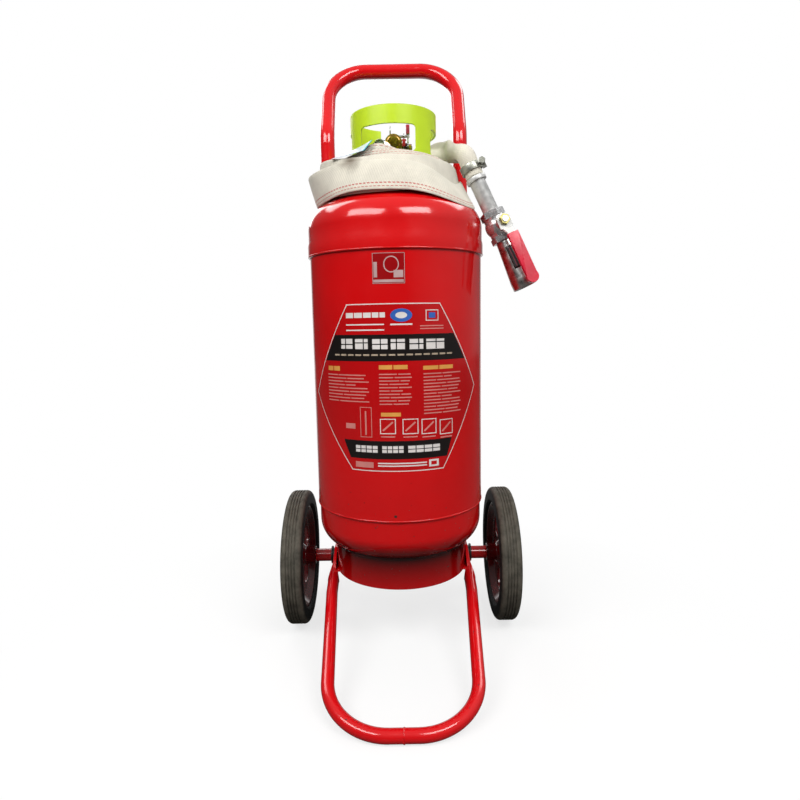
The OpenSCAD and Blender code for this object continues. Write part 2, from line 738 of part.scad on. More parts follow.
module dip_tube() {
    dip_r = dip_d / 2;
    foot_z = bottom_tangent_z - bottom_dome_h + head_wall + dip_gap;
    top_z = crown_z + 4;
    color(zinc) at_tank() translate([0, 0, foot_z]) difference() {
        cylinder(h = top_z - foot_z, r = dip_r);
        translate([0, 0, -cut]) cylinder(h = top_z - foot_z + 2 * cut, r = dip_r - 1.5);
        translate([0, 0, -cut]) rotate([0, 35, 0]) translate([-dip_d, -dip_d, -dip_d])
            cube([2 * dip_d, 2 * dip_d, dip_d]);
    }
}

module neck_seal() {
    wire = 1.3;
    color("black") at_tank() translate([0, 0, neck_top_z - wire - 0.05]) rotate_extrude()
        translate([neck_bore_r + wire + 0.15, 0]) circle(r = wire, $fn = 24);
}

module head_valve_body() {
    shank_r = neck_bore_r - 0.1;
    shank_z = crown_z - 9;
    color(brass) at_tank() difference() {
        union() {
            translate([0, 0, shank_z]) cylinder(h = valve_seat_z - shank_z, r = shank_r);
            translate([0, 0, valve_seat_z]) hexagon(neck_bore + 6, hex_h);
            translate([0, 0, valve_seat_z]) cylinder(h = valve_z - valve_seat_z, r = valve_r);
            translate([0, 0, valve_z]) along_y(-chamber_front)
                cylinder(h = chamber_end + chamber_front, r = valve_r);
            translate([0, 0, valve_z]) along_y(-chamber_front - 3)
                cylinder(h = 4, r1 = valve_r - 4, r2 = valve_r - 1);
            translate([0, head_ball_back, valve_z]) along_x(0) cylinder(h = boss_x, r = 7);
            translate([0, 0, neck_top_z + gauge_rise]) rotate([90, 0, -gauge_turn])
                cylinder(h = gauge_port, r = 7);
        }
        translate([0, 0, shank_z - cut]) cylinder(h = valve_z - shank_z + cut, r = head_bore_r);
        translate([0, 0, shank_z - cut])
            cylinder(h = crown_z + 4.1 - shank_z + cut, r = dip_d / 2 + weld_gap);
        translate([0, 0, valve_z]) along_y(-chamber_front + 4)
            cylinder(h = chamber_front + 20, r = head_bore_r);
        translate([0, 0, valve_z]) along_y(pocket_front) cylinder(h = chamber_end, r = pocket_r);
        translate([0, head_ball_back, valve_z]) along_x(0)
            cylinder(h = boss_x + cut, r = head_stem_r + run_gap);
        translate([0, 0, neck_top_z + gauge_rise]) rotate([90, 0, -gauge_turn])
            cylinder(h = gauge_port + cut, r = 3.5);
    }
}

// A ball with its passage along Z and a socket for the stem on its +X side
module drilled_ball(r, bore, stem, tip) {
    difference() {
        sphere(r = r, $fn = 96);
        translate([0, 0, -r - cut]) cylinder(h = 2 * r + 2 * cut, r = bore);
        along_x(tip) cylinder(h = r, r = stem + 0.02);
    }
}

// A seat ring along Z from z = 0, cupped for a ball whose centre lies at ball_at
module seat_ring(outer, bore, h, ball_r, ball_at) {
    difference() {
        cylinder(h = h, r = outer);
        translate([0, 0, -cut]) cylinder(h = h + 2 * cut, r = bore);
        translate([0, 0, ball_at]) sphere(r = ball_r + run_gap, $fn = 96);
    }
}

module head_ball() {
    color(chrome) at_tank() translate([0, head_ball_back, valve_z])
        drilled_ball(head_ball_r, head_bore_r, head_stem_r, head_ball_r - 2.5);
}

module head_seats() {
    outer = pocket_r - 0.05;
    h = head_seat_len;
    color(white_plastic) at_tank() translate([0, 0, valve_z]) {
        along_y(pocket_front + weld_gap)
            seat_ring(outer, head_bore_r, h, head_ball_r, head_ball_back - pocket_front - weld_gap);
        along_y(seat_end - h) seat_ring(outer, head_bore_r, h, head_ball_r, head_ball_back - seat_end + h);
    }
}

module head_stem() {
    tip = head_ball_r - 2.3;
    color(chrome) at_tank() translate([0, head_ball_back, valve_z]) along_x(tip)
        cylinder(h = head_nut_x + head_nut_t + 1 - tip, r = head_stem_r);
}

module head_gland() {
    color("#3a3a3a") at_tank() translate([0, head_ball_back, valve_z]) along_x(gland_x)
        hex_ring(13, head_stem_r + run_gap, gland_t);
}

// The lever stands up from the stem; an open notch in its front edge takes the safety pin
module head_lever() {
    half = head_lever_w / 2;
    color(chrome) at_tank() translate([head_lever_x, head_ball_back, valve_z])
        rotate([90, 0, 90]) linear_extrude(head_lever_t) difference() {
            union() {
                circle(r = 7.5);
                translate([-half, 0]) square([head_lever_w, head_lever_len - half]);
                translate([0, head_lever_len - half]) circle(r = half);
            }
            circle(r = head_stem_r + 0.02);
            translate([-half, pin_rise]) circle(r = pin_r + 0.35);
        }
}

module head_lever_grip() {
    half = head_lever_w / 2;
    wall = 1.3;
    start = pin_rise + pin_r + 2;
    color(vinyl_red) at_tank() translate([head_lever_x, head_ball_back, valve_z]) rotate([90, 0, 90])
        difference() {
            translate([0, 0, -wall]) linear_extrude(head_lever_t + 2 * wall) union() {
                translate([-half - wall, start])
                    square([head_lever_w + 2 * wall, head_lever_len - half - start]);
                translate([0, head_lever_len - half]) circle(r = half + wall);
            }
            translate([0, 0, -weld_gap]) linear_extrude(head_lever_t + 2 * weld_gap) union() {
                translate([-half - weld_gap, 0])
                    square([head_lever_w + 2 * weld_gap, head_lever_len - half]);
                translate([0, head_lever_len - half]) circle(r = half + weld_gap);
            }
        }
}

module head_lever_nut() {
    color(brass) at_tank() translate([0, head_ball_back, valve_z]) along_x(head_nut_x)
        hex_ring(10, head_stem_r + 0.02, head_nut_t);
}

// A sheet bracket under the gland nut carries the safety pin beside the lever
module pin_bracket() {
    color(zinc) at_tank() translate([bracket_x, head_ball_back, valve_z]) rotate([90, 0, 90])
        linear_extrude(bracket_t) difference() {
            union() {
                circle(r = 7);
                rotate(pin_turn) translate([0, -3.5]) square([pin_reach, 7]);
                rotate(pin_turn) translate([pin_reach, 0]) circle(r = 4);
            }
            circle(r = head_stem_r + run_gap);
            rotate(pin_turn) translate([pin_reach, 0]) circle(r = pin_r + run_gap);
            translate(seal_hole) circle(r = 1);
        }
}

module safety_pin() {
    color(zinc) at_tank() translate([0, pin_y, pin_z]) difference() {
        union() {
            along_x(eye_x) cylinder(h = head_lever_x + head_lever_t + 1 - eye_x, r = pin_r);
            translate([eye_x, 0, 0]) sphere(r = eye_r);
        }
        translate([eye_x, 0, 0]) rotate([-ring_tilt, 0, 0])
            cylinder(h = 4 * eye_r, r = 1.9, center = true);
    }
}

// The ring leans on top of the valve and threads the pin's eye
module pull_ring() {
    color(zinc) at_tank() translate([eye_x, pin_y - pull_ring_r * cos(ring_tilt), pin_z + ring_rise])
        rotate([0, 90, 0]) rotate_extrude() translate([pull_ring_r, 0]) circle(r = ring_wire_r, $fn = 24);
}

// A thin plastic loop with its tag, threaded through the bracket
module tamper_seal() {
    loop_r = 3.4;
    wire_r = 0.6;
    tag = [4.2, 1.2, 9.6];
    color(vinyl_red) at_tank()
        translate([bracket_x + bracket_t / 2, head_ball_back + seal_hole.x - loop_r, valve_z + seal_hole.y]) {
            rotate_extrude() translate([loop_r, 0]) circle(r = wire_r, $fn = 24);
            translate([-tag.x / 2, -loop_r - wire_r, wire_r - tag.z]) cube(tag);
        }
}

module outlet_barb() {
    color(brass) at_tank() translate([0, 0, valve_z]) difference() {
        union() {
            along_y(seat_end + weld_gap) cylinder(h = chamber_end - seat_end, r = pocket_r - 0.05);
            along_y(chamber_end + weld_gap) hexagon(2 * valve_r - 1, barb_hex_end - chamber_end - weld_gap);
            along_y(barb_hex_end - cut) cylinder(h = barb_start - barb_hex_end + cut, r = barb_r - 3);
            along_y(barb_start - 2) cylinder(h = barb_end - barb_start + 2, r = barb_r - 0.5);
            for (i = [0:2]) along_y(barb_start + 1 + 8 * i) cylinder(h = 5, r1 = barb_r, r2 = barb_r - 0.5);
        }
        along_y(seat_end) cylinder(h = barb_end, r = head_bore_r);
    }
}

// A band clamp round a hose along Z, with its screw housing on the +X side
module band_clamp(screw_len) {
    band_w = 10;
    translate([0, 0, -band_w / 2]) ring(hose_r + 1, hose_r + weld_gap, band_w);
    translate([hose_r + 0.6, -screw_len / 2, -4.5]) cube([6, screw_len * 0.55, 9]);
    translate([hose_r + 4, -screw_len / 2 - 2, 0]) rotate([-90, 0, 0]) cylinder(h = screw_len, r = 2.6);
    translate([hose_r + 4, screw_len / 2 - 3, 0]) rotate([-90, 0, 0]) hexagon(8, 4.5);
}

module inlet_clamp() {
    color(zinc) at_tank() translate([0, (barb_start + barb_end) / 2, valve_z]) rotate([90, 0, 0])
        rotate([0, 0, 90]) band_clamp(inlet_screw_len);
}

// ---- Pressure gauge ----

// Places children on the gauge's axis, with Z outwards from the valve
module at_gauge(out) {
    at_tank() translate([0, 0, neck_top_z + gauge_rise]) rotate([90, 0, -gauge_turn])
        translate([0, 0, out]) children();
}

module gauge_case() {
    color(chrome) at_gauge(0) {
        difference() {
            translate([0, 0, gauge_back]) cylinder(h = gauge_face - gauge_back, r = gauge_r);
            translate([0, 0, gauge_back + 1.5]) cylinder(h = gauge_face, r = gauge_r - 1.2);
        }
        translate([0, 0, gauge_port + weld_gap]) hexagon(12, gauge_back - gauge_port);
        translate([0, 0, gauge_port - 7]) cylinder(h = 8, r = 3.45);
    }
}

module gauge_dial() {
    color("white") at_gauge(gauge_face - 5) cylinder(h = 0.8, r = gauge_r - 1.25);
    color("white") at_gauge(gauge_back + 1.55) cylinder(h = gauge_face - gauge_back - 6.6, r = gauge_r / 2);
}

module gauge_needle() {
    color("black") at_gauge(gauge_face - 4.15) {
        cylinder(h = 1.2, r = 1.4);
        rotate([0, 0, 70]) translate([-3, -0.4, 0.3]) cube([gauge_r * 0.6 + 3, 0.8, 0.6]);
    }
}

module gauge_lens() {
    color("white", 0.35) at_gauge(gauge_face - 2.2) cylinder(h = 1.4, r = gauge_r - 1.25);
}

// ---- Valve guard ----

// A cutter for one window: a rounded rectangle pushed outwards through the guard's wall
module guard_window(turn, half, from, to, corner) {
    rotate([0, 0, turn]) translate([0, 0, neck_top_z]) rotate([90, 0, 0])
        translate([0, 0, guard_r / 3]) linear_extrude(guard_r) union() {
            translate([-half + corner, from]) square([2 * (half - corner), to - from]);
            translate([-half, from + corner]) square([2 * half, to - from - 2 * corner]);
            for (x = [-half + corner, half - corner], z = [from + corner, to - corner])
                translate([x, z]) circle(r = corner);
        }
}

module valve_guard() {
    window_top = guard_h - guard_ring_h;
    front_half = (guard_r - guard_wall) * sin(front_window_half);
    side_half = (guard_r - guard_wall) * sin(side_window_half);
    back_half = (guard_r - guard_wall) * sin(back_gap_half);
    color(lime) at_tank() rotate([0, 0, guard_turn]) difference() {
        translate([0, 0, neck_top_z + weld_gap]) difference() {
            cylinder(h = guard_h - weld_gap, r = guard_r, $fn = 128);
            translate([0, 0, guard_wall]) cylinder(h = guard_h, r = guard_r - guard_wall, $fn = 128);
            translate([0, 0, -cut]) cylinder(h = guard_wall + 2 * cut, r = neck_bore_r);
        }
        guard_window(0, front_half, guard_sill, window_top, guard_corner_r);
        for (side = [-1, 1])
            guard_window(side * side_window_turn, side_half, guard_sill, window_top, guard_corner_r);
        translate([-back_half, guard_r / 3, neck_top_z + guard_wall + weld_gap])
            cube([2 * back_half, guard_r, guard_h]);
    }
}

// ---- Hose ----

module hose_inlet() {
    color(canvas) at_tank() hose(smooth(inlet_route, 3), hose_r);
}

// The turns of flat hose as one ring that rests on the dome round the guard
module hose_coil() {
    foot = [for (i = [0:8]) let (x = coil_in_r + (coil_foot_r - coil_in_r) * i / 8)
        [x, dome_z(x) + rest_gap]];
    color(canvas) difference() {
        at_tank() rotate_extrude($fn = 96)
            polygon(concat(foot, [[coil_foot_r, dome_z(coil_foot_r) + 4], [coil_top_r, coil_top_z],
                                  [coil_in_r, coil_top_z + coil_rise]]));
        at_nozzle() translate([0, 0, pipe_tail - 10]) cylinder(h = 60, r = hose_r + 3);
    }
}

module hose_lead() {
    route = concat(lead_route, [on_nozzle(pipe_tail - 4), on_nozzle(4), on_nozzle(cuff_end)]);
    color(canvas) at_tank() hose(smooth(route, 3), hose_r);
}

module at_nozzle() {
    at_tank() translate(nozzle_top) rotate([0, nozzle_tilt, nozzle_yaw])
        rotate([0, 0, nozzle_roll]) children();
}

module hose_clamp() {
    color(zinc) at_nozzle() translate([0, 0, clamp_at]) rotate([0, 0, clamp_turn])
        band_clamp(hose_screw_len);
}

// ---- Nozzle ----

module nozzle_pipe() {
    tail_r = barb_r - 0.5;
    color(zinc) at_nozzle() difference() {
        union() {
            translate([0, 0, pipe_tail]) cylinder(h = cuff_end - pipe_tail + cut, r = tail_r);
            translate([0, 0, cuff_end + weld_gap]) cylinder(h = collar_h, r = collar_r);
            translate([0, 0, cuff_end]) cylinder(h = nozzle_body_start + 8 - cuff_end, r = pipe_r);
        }
        translate([0, 0, pipe_tail - cut]) cylinder(h = nozzle_valve_at, r = nozzle_bore_r);
    }
}

module nozzle_valve_body() {
    waist = nozzle_hex_af / 2;
    color(chrome) at_nozzle() difference() {
        union() {
            translate([0, 0, nozzle_body_start]) hexagon(nozzle_hex_af, 9);
            translate([0, 0, nozzle_body_start + 2])
                cylinder(h = nozzle_body_end - nozzle_body_start - 2, r = waist);
            translate([0, 0, nozzle_valve_at]) intersection() {
                sphere(r = waist + 2.5, $fn = 96);
                cylinder(h = 2 * nozzle_ball_r, r = waist + 3, center = true);
            }
            translate([0, 0, nozzle_valve_at]) along_x(0) cylinder(h = nozzle_boss_x, r = 8.5);
        }
        translate([0, 0, nozzle_body_start - cut]) cylinder(h = 9.1, r = pipe_r + weld_gap);
        translate([0, 0, nozzle_body_start]) cylinder(h = 2 * valve_half, r = nozzle_bore_r);
        translate([0, 0, nozzle_pocket_start - 1.5]) cylinder(h = 2 * valve_half, r = nozzle_pocket_r);
        translate([0, 0, nozzle_valve_at]) along_x(0)
            cylinder(h = nozzle_boss_x + cut, r = nozzle_stem_r + run_gap);
    }
}

module nozzle_end_cap() {
    color(chrome) at_nozzle() difference() {
        union() {
            translate([0, 0, nozzle_body_end + weld_gap])
                hexagon(nozzle_hex_af, nozzle_cap_end - nozzle_body_end - weld_gap);
            translate([0, 0, nozzle_body_end - 1.5]) cylinder(h = 2, r = nozzle_pocket_r - 0.05);
        }
        translate([0, 0, nozzle_body_end - 2]) cylinder(h = 2 * valve_half, r = nozzle_bore_r);
        translate([0, 0, nozzle_barrel_start - weld_gap])
            cylinder(h = valve_half, r = nozzle_bore_r + 1.5 + weld_gap);
    }
}

module nozzle_ball() {
    color(chrome) at_nozzle() translate([0, 0, nozzle_valve_at])
        drilled_ball(nozzle_ball_r, nozzle_bore_r, nozzle_stem_r, nozzle_ball_r - 2.8);
}

module nozzle_seats() {
    outer = nozzle_pocket_r - 0.05;
    h = 5.5;
    low = nozzle_pocket_start - 1.5 + weld_gap;
    high = nozzle_body_end - 1.5 - weld_gap - h;
    color(white_plastic) at_nozzle() for (z = [low, high]) translate([0, 0, z])
        seat_ring(outer, nozzle_bore_r, h, nozzle_ball_r, nozzle_valve_at - z);
}

module nozzle_stem() {
    tip = nozzle_ball_r - 2.6;
    color(chrome) at_nozzle() translate([0, 0, nozzle_valve_at]) along_x(tip)
        cylinder(h = nozzle_stem_end - tip, r = nozzle_stem_r);
}

module nozzle_gland() {
    color(brass) at_nozzle() translate([0, 0, nozzle_valve_at]) along_x(nozzle_gland_x)
        hex_ring(15, nozzle_stem_r + run_gap, nozzle_gland_t);
}

// The lever's root plate sits on the stem and steps outwards into the arm
module nozzle_lever() {
    plate_len = nozzle_plate_len;
    half = nozzle_lever_w / 2;
    step_x = nozzle_lever_x + nozzle_lever_step;
    color(white_plastic) at_nozzle() translate([0, 0, nozzle_valve_at]) difference() {
        union() {
            along_x(nozzle_lever_x) cylinder(h = nozzle_lever_t, r = 9.5);
            translate([nozzle_lever_x, -9.5, 0]) cube([nozzle_lever_t, 19, plate_len]);
            rotate([90, 0, 0]) translate([0, 0, -half]) linear_extrude(nozzle_lever_w)
                polygon([[nozzle_lever_x, plate_len - 2], [nozzle_lever_x + nozzle_lever_t, plate_len - 2],
                         [nozzle_lever_x + nozzle_lever_t, plate_len],
                         [step_x + nozzle_lever_t, plate_len + nozzle_lever_step],
                         [step_x + nozzle_lever_t, nozzle_lever_len - half],
                         [step_x, nozzle_lever_len - half], [step_x, plate_len + nozzle_lever_step + 1],
                         [nozzle_lever_x, plate_len + 1]]);
            translate([0, 0, nozzle_lever_len - half]) along_x(step_x) cylinder(h = nozzle_lever_t, r = half);
        }
        along_x(nozzle_lever_x - cut) cylinder(h = 2 * nozzle_lever_t, r = nozzle_stem_r + 0.02);
    }
}

// A dipped vinyl grip round the arm, with a broad round end
module nozzle_lever_grip() {
    half = nozzle_lever_w / 2;
    step_x = nozzle_lever_x + nozzle_lever_step;
    start = nozzle_plate_len + nozzle_lever_step + 2;
    color(vinyl_red) at_nozzle() translate([0, 0, nozzle_valve_at]) difference() {
        union() {
            translate([step_x - nozzle_grip_t, -half - nozzle_grip_t, start])
                cube([nozzle_lever_t + 2 * nozzle_grip_t, nozzle_lever_w + 2 * nozzle_grip_t,
                      nozzle_lever_len - half - start]);
            translate([0, 0, nozzle_lever_len - half]) along_x(step_x - nozzle_grip_t)
                cylinder(h = nozzle_lever_t + 2 * nozzle_grip_t, r = half + nozzle_grip_t + 0.8);
        }
        translate([step_x - weld_gap, -half - weld_gap, 0])
            cube([nozzle_lever_t + 2 * weld_gap, nozzle_lever_w + 2 * weld_gap, nozzle_lever_len - half]);
        translate([0, 0, nozzle_lever_len - half]) along_x(step_x - weld_gap)
            cylinder(h = nozzle_lever_t + 2 * weld_gap, r = half + weld_gap);
    }
}

module nozzle_lever_nut() {
    color(brass) at_nozzle() translate([0, 0, nozzle_valve_at]) along_x(nozzle_nut_x)
        hex_ring(13, nozzle_stem_r + 0.02, nozzle_nut_t);
}

// The barrel widens in a long cone to a straight, thin-walled mouth
module nozzle_barrel() {
    neck = nozzle_bore_r + 1.5;
    start = nozzle_barrel_start;
    shoulder = nozzle_cap_end + weld_gap;
    lip = nozzle_len - mouth_depth;
    inside = mouth_r - mouth_wall;
    color(chrome) at_nozzle() rotate_extrude()
        polygon([[nozzle_bore_r - 0.5, start], [neck, start], [neck, shoulder], [neck + 2.2, shoulder],
                 [neck + 2.2, shoulder + 4], [mouth_r - 0.4, lip - 3], [mouth_r, lip],
                 [mouth_r, nozzle_len], [inside, nozzle_len], [inside, lip], [inside - 0.4, lip],
                 [nozzle_bore_r - 0.5, shoulder + 4]]);
}

// ---- Card ----

// The card lies on the slope of the wound hose
module inspection_card() {
    edge_z = coil_top_z + (coil_top_r - card_reach) * tan(coil_slope) + card_rest + rest_gap;
    color("#dfeaf0") at_tank() rotate([0, 0, card_turn])
        translate([0, -card_reach, edge_z]) rotate([coil_slope, -card_lift, 0])
            translate([-card_shift - card_l / 2, 0, 0]) cube([card_l, card_w, card_t]);
}

bottom_head();
barrel();
top_head();
base_skirt();
neck_ring();
handle_loop();
handle_welds();
foot_loop();
axle_lugs();
axle();
axle_washers();
spacer_sleeves();
split_pins();
left_tyre();
left_rim();
left_bush();
right_tyre();
right_rim();
right_bush();
dip_tube();
neck_seal();
head_valve_body();
head_ball();
head_seats();
head_stem();
head_gland();
head_lever();
head_lever_grip();
head_lever_nut();
pin_bracket();
safety_pin();
pull_ring();
tamper_seal();
outlet_barb();
inlet_clamp();
gauge_case();
gauge_dial();
gauge_needle();
gauge_lens();
valve_guard();
hose_inlet();
hose_coil();
hose_lead();
hose_clamp();
nozzle_pipe();
nozzle_valve_body();
nozzle_end_cap();
nozzle_ball();
nozzle_seats();
nozzle_stem();
nozzle_gland();
nozzle_lever();
nozzle_lever_grip();
nozzle_lever_nut();
nozzle_barrel();
inspection_card();
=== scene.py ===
import json
import math
from functools import partial

import bmesh
import bpy
from mathutils import Matrix, Vector, noise

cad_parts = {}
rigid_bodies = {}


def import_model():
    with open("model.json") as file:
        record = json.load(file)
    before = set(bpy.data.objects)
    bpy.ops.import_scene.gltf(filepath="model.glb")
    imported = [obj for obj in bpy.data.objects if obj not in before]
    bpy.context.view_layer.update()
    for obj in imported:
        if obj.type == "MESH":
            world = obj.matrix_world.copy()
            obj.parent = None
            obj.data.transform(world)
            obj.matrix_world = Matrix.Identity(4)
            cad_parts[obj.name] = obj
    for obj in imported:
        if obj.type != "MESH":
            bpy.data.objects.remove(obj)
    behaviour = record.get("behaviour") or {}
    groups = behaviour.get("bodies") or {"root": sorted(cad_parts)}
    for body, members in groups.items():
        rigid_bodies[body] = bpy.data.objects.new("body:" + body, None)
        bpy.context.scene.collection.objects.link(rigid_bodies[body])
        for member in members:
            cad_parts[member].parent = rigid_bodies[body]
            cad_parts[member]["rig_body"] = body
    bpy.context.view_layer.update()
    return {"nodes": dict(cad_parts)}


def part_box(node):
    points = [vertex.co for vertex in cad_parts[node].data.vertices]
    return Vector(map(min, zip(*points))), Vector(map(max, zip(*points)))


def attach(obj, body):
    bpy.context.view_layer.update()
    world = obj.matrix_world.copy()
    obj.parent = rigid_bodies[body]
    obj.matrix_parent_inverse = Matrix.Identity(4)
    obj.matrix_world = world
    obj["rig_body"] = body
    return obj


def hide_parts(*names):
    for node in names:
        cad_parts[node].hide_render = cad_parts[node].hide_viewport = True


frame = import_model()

bl_info = {
    "name": "Wheeled Fire Extinguisher",
    "version": (1, 0, 0),
    "blender": (4, 5, 0),
    "location": "3D View > Sidebar > Extinguisher",
    "description": "Finishes a wheeled extinguisher: paint, rubber, hose, label and fittings",
    "category": "Object",
}

NODES = frame["nodes"]
MM = 0.001
BODY = "extinguisher"
MERGE_DISTANCE = 0.000002

# How edges are rounded: the radius in metres, and the least angle in degrees between the
# faces of an edge that gets it
PRESSED_EDGE = (0.0008, 20)
SKIRT_EDGE = (0.0005, 20)
TUBE_EDGE = (0.0006, 30)
TYRE_EDGE = (0.0004, 30)
GUARD_EDGE = (0.0012, 30)
# Small moulded pieces have the usual angle
SMALL_RADIUS = 0.0002
USUAL_ANGLE = 28

# Places that the solids give, in millimetres: the tank's axis and its rings
TANK_Y = 46.5518
BARREL_R = 122.5
LIP_R = 125.05
SKIRT_R = 98
TOP_TANGENT_Z = 607.038
TOP_R = 123.8
DOME_H = 62
KNUCKLE_R = 38
LIP_Z = 571.54
BARREL_Z = 217.04
SKIRT_TOP_Z = 156.1
AXLE_Y = 94.5518
AXLE_Z = 105
FOOT_TUBE_R = 8.5
# Where the nozzle begins and the way it points
NOZZLE_TOP = Vector((105, -20 + TANK_Y, 694))
NOZZLE_DIR = Vector((0.403284, -0.107542, -0.908733))


def linear(hex_colour):
    """Linear colour of an sRGB hex value."""
    parts = [int(hex_colour[i:i + 2], 16) / 255 for i in (0, 2, 4)]
    return [p / 12.92 if p <= 0.04045 else ((p + 0.055) / 1.055) ** 2.4 for p in parts]


def colour_property(name, description, hex_colour):
    return bpy.props.FloatVectorProperty(
        name=name, description=description, default=linear(hex_colour),
        subtype="COLOR", size=3, min=0, max=1)


def length_property(name, description, metres):
    return bpy.props.FloatProperty(
        name=name, description=description, default=metres, unit="LENGTH")


class ExtinguisherColours(bpy.types.PropertyGroup):
    tank: colour_property("Tank", "Gloss enamel of the tank", "D0080C")
    tubes: colour_property("Tubes", "Gloss enamel of handle and foot", "D60B12")
    rims: colour_property("Rims", "Gloss enamel of the wheels", "52070A")
    guard: colour_property("Guard", "Moulded plastic of the valve guard", "C3DF1E")
    canvas: colour_property("Canvas", "Woven jacket of the hose", "E6E0D0")
    stripe: colour_property("Stripe", "Dyed threads along the hose", "B5342E")
    tread: colour_property("Tread", "Dusty rubber of the tread", "5E5A50")
    grip: colour_property("Grip", "Dipped vinyl of the lever grips", "D21535")
    label: colour_property("Label", "Printed ground of the label", "BC080D")


class ExtinguisherSizes(bpy.types.PropertyGroup):
    hose_width: length_property("Hose width", "Width of the hose laid flat", 0.042)
    hose_thickness: length_property("Hose thickness", "Thickness of the hose laid flat", 0.0036)
    hose_turns: bpy.props.IntProperty(
        name="Hose turns", description="Turns of the wound hose", default=7, min=3, max=8)
    weave_pitch: length_property("Weave pitch", "Distance between the jacket's threads", 0.0016)
    bead_radius: length_property("Weld bead", "Radius of the weld beads", 0.0021)
    edge_radius: length_property("Edge radius", "Rounding of the metal pieces' edges", 0.0004)


def colours():
    return bpy.context.scene.extinguisher_colours


def sizes():
    return bpy.context.scene.extinguisher_sizes


# ---- Materials ----

# A mix of two colours: its sockets are 0 for the share, 6 for the first and 7 for the second
COLOUR_MIX = {"out": 2, "data_type": "RGBA"}


def add(tree, kind, inputs=(), out=0, **settings):
    """Adds a node with its settings and gives one of its outputs. Each input is a value or a
    socket to link from, in the node's own order or by name."""
    made = tree.nodes.new("ShaderNode" + kind)
    for key, value in settings.items():
        setattr(made, key, value)
    for key, value in (inputs if isinstance(inputs, dict) else dict(enumerate(inputs))).items():
        if isinstance(value, bpy.types.NodeSocket):
            tree.links.new(value, made.inputs[key])
        else:
            made.inputs[key].default_value = value
    return made.outputs[out]


def feed(made, socket, value):
    """Links a value to a node's input."""
    made.id_data.links.new(value, made.inputs[socket])


def shader(name, **sockets):
    """A material whose shader has these socket values, the shader, and what adds nodes to it."""
    made = bpy.data.materials.new(name)
    made.use_nodes = True
    bsdf = made.node_tree.nodes["Principled BSDF"]
    for key, value in sockets.items():
        bsdf.inputs[key.replace("_", " ")].default_value = value
    return made, bsdf, partial(add, made.node_tree)


def rgba(colour, scale=1.0):
    return [min(1.0, c * scale) for c in colour[:3]] + [1.0]


def clouded(node, cloud, low, high, dark, light):
    """A colour that goes from dark to light as the cloud goes from low to high."""
    share = node("MapRange", (cloud, low, high))
    return node("Mix", {0: share, 6: dark, 7: light}, **COLOUR_MIX)


def relief(node, bsdf, *layers):
    """Layers of height on the shader's normal, each a pattern from 0 to 1, its depth in
    metres and its strength."""
    normal = None
    for height, depth, strength in layers:
        inputs = {"Height": height, "Distance": depth, "Strength": strength}
        if normal is not None:
            inputs["Normal"] = normal
        normal = node("Bump", inputs)
    feed(bsdf, "Normal", normal)


# In every noise, Scale is 1000 over the features' size in millimetres.

def gloss_enamel(name, colour, chips_below, chip_mm=4.5, grime=None, knocks=()):
    """Baked alkyd enamel, sprayed: a deep gloss with a faint orange peel, and with small
    chips that have rusted where the object gets knocked."""
    made, bsdf, node = shader(name, Roughness=0.16, Coat_Weight=0.3, Coat_Roughness=0.05,
                              Specular_IOR_Level=0.5)
    place = node("TexCoord", out="Object")
    cloud = node("TexNoise", {"Vector": place, "Scale": 1000 / 90, "Detail": 3})
    base = clouded(node, cloud, 0.3, 0.7, rgba(colour, 0.93), rgba(colour, 1.05))
    parts = node("SeparateXYZ", [place]).node.outputs
    if grime:
        # Painted shade: between these two heights the colour darkens towards the crease under the
        # tank, to the given share, standing in for the shadow there
        low, high, floor = grime
        base = clouded(node, parts["Z"], low, high, rgba(colour, floor), base)
    near_ground = node("MapRange", (parts["Z"], chips_below, chips_below * 0.45))
    specks = node("TexNoise", {"Vector": place, "Scale": 1000 / chip_mm, "Detail": 1.5,
                               "Roughness": 0.4})
    chip = node("Math", (node("MapRange", (specks, 0.735, 0.75)), near_ground),
                operation="MULTIPLY", use_clamp=True)
    if knocks:
        # Single knocks in front, each an x, a height and a radius in millimetres; their
        # rims are ragged by up to ragged metres
        ragged = 0.0016
        front = node("Math", (parts["Y"], TANK_Y * MM), operation="LESS_THAN")
        flat = node("VectorMath", (place, (1, 0, 1)), operation="MULTIPLY")
        rim = node("TexNoise", {"Vector": place, "Scale": 1000 / 1.5})
        rim = node("Math", (rim, ragged), operation="MULTIPLY")
        for x, z, r in knocks:
            away = node("VectorMath", (flat, (x * MM, 0, z * MM)), out="Value",
                        operation="DISTANCE")
            away = node("Math", (away, rim), operation="ADD")
            near = node("Math", (away, r * MM + ragged / 2), operation="LESS_THAN")
            near = node("Math", (near, front), operation="MULTIPLY")
            chip = node("Math", (chip, near), operation="MAXIMUM")
    rust = rgba(linear("2E120D"))
    feed(bsdf, "Base Color", node("Mix", {0: chip, 6: base, 7: rust}, **COLOUR_MIX))
    smears = node("TexNoise", {"Vector": place, "Scale": 1000 / 30, "Detail": 4})
    smudge = node("MapRange", (smears, 0.35, 0.75, 0.1, 0.22))
    rusty = node("Math", (chip, 0.7), operation="MULTIPLY")
    feed(bsdf, "Roughness", node("Math", (smudge, rusty), operation="MAXIMUM"))
    # Orange peel has 2 mm waves a few micrometres tall; it is drawn taller so that it shows.
    wave = node("TexNoise", {"Vector": place, "Scale": 1000 / 50, "Detail": 1})
    peel = node("TexNoise", {"Vector": place, "Scale": 1000 / 2.2, "Detail": 1})
    relief(node, bsdf, (wave, 0.0006, 0.5), (peel, 0.00006, 0.5))
    return made


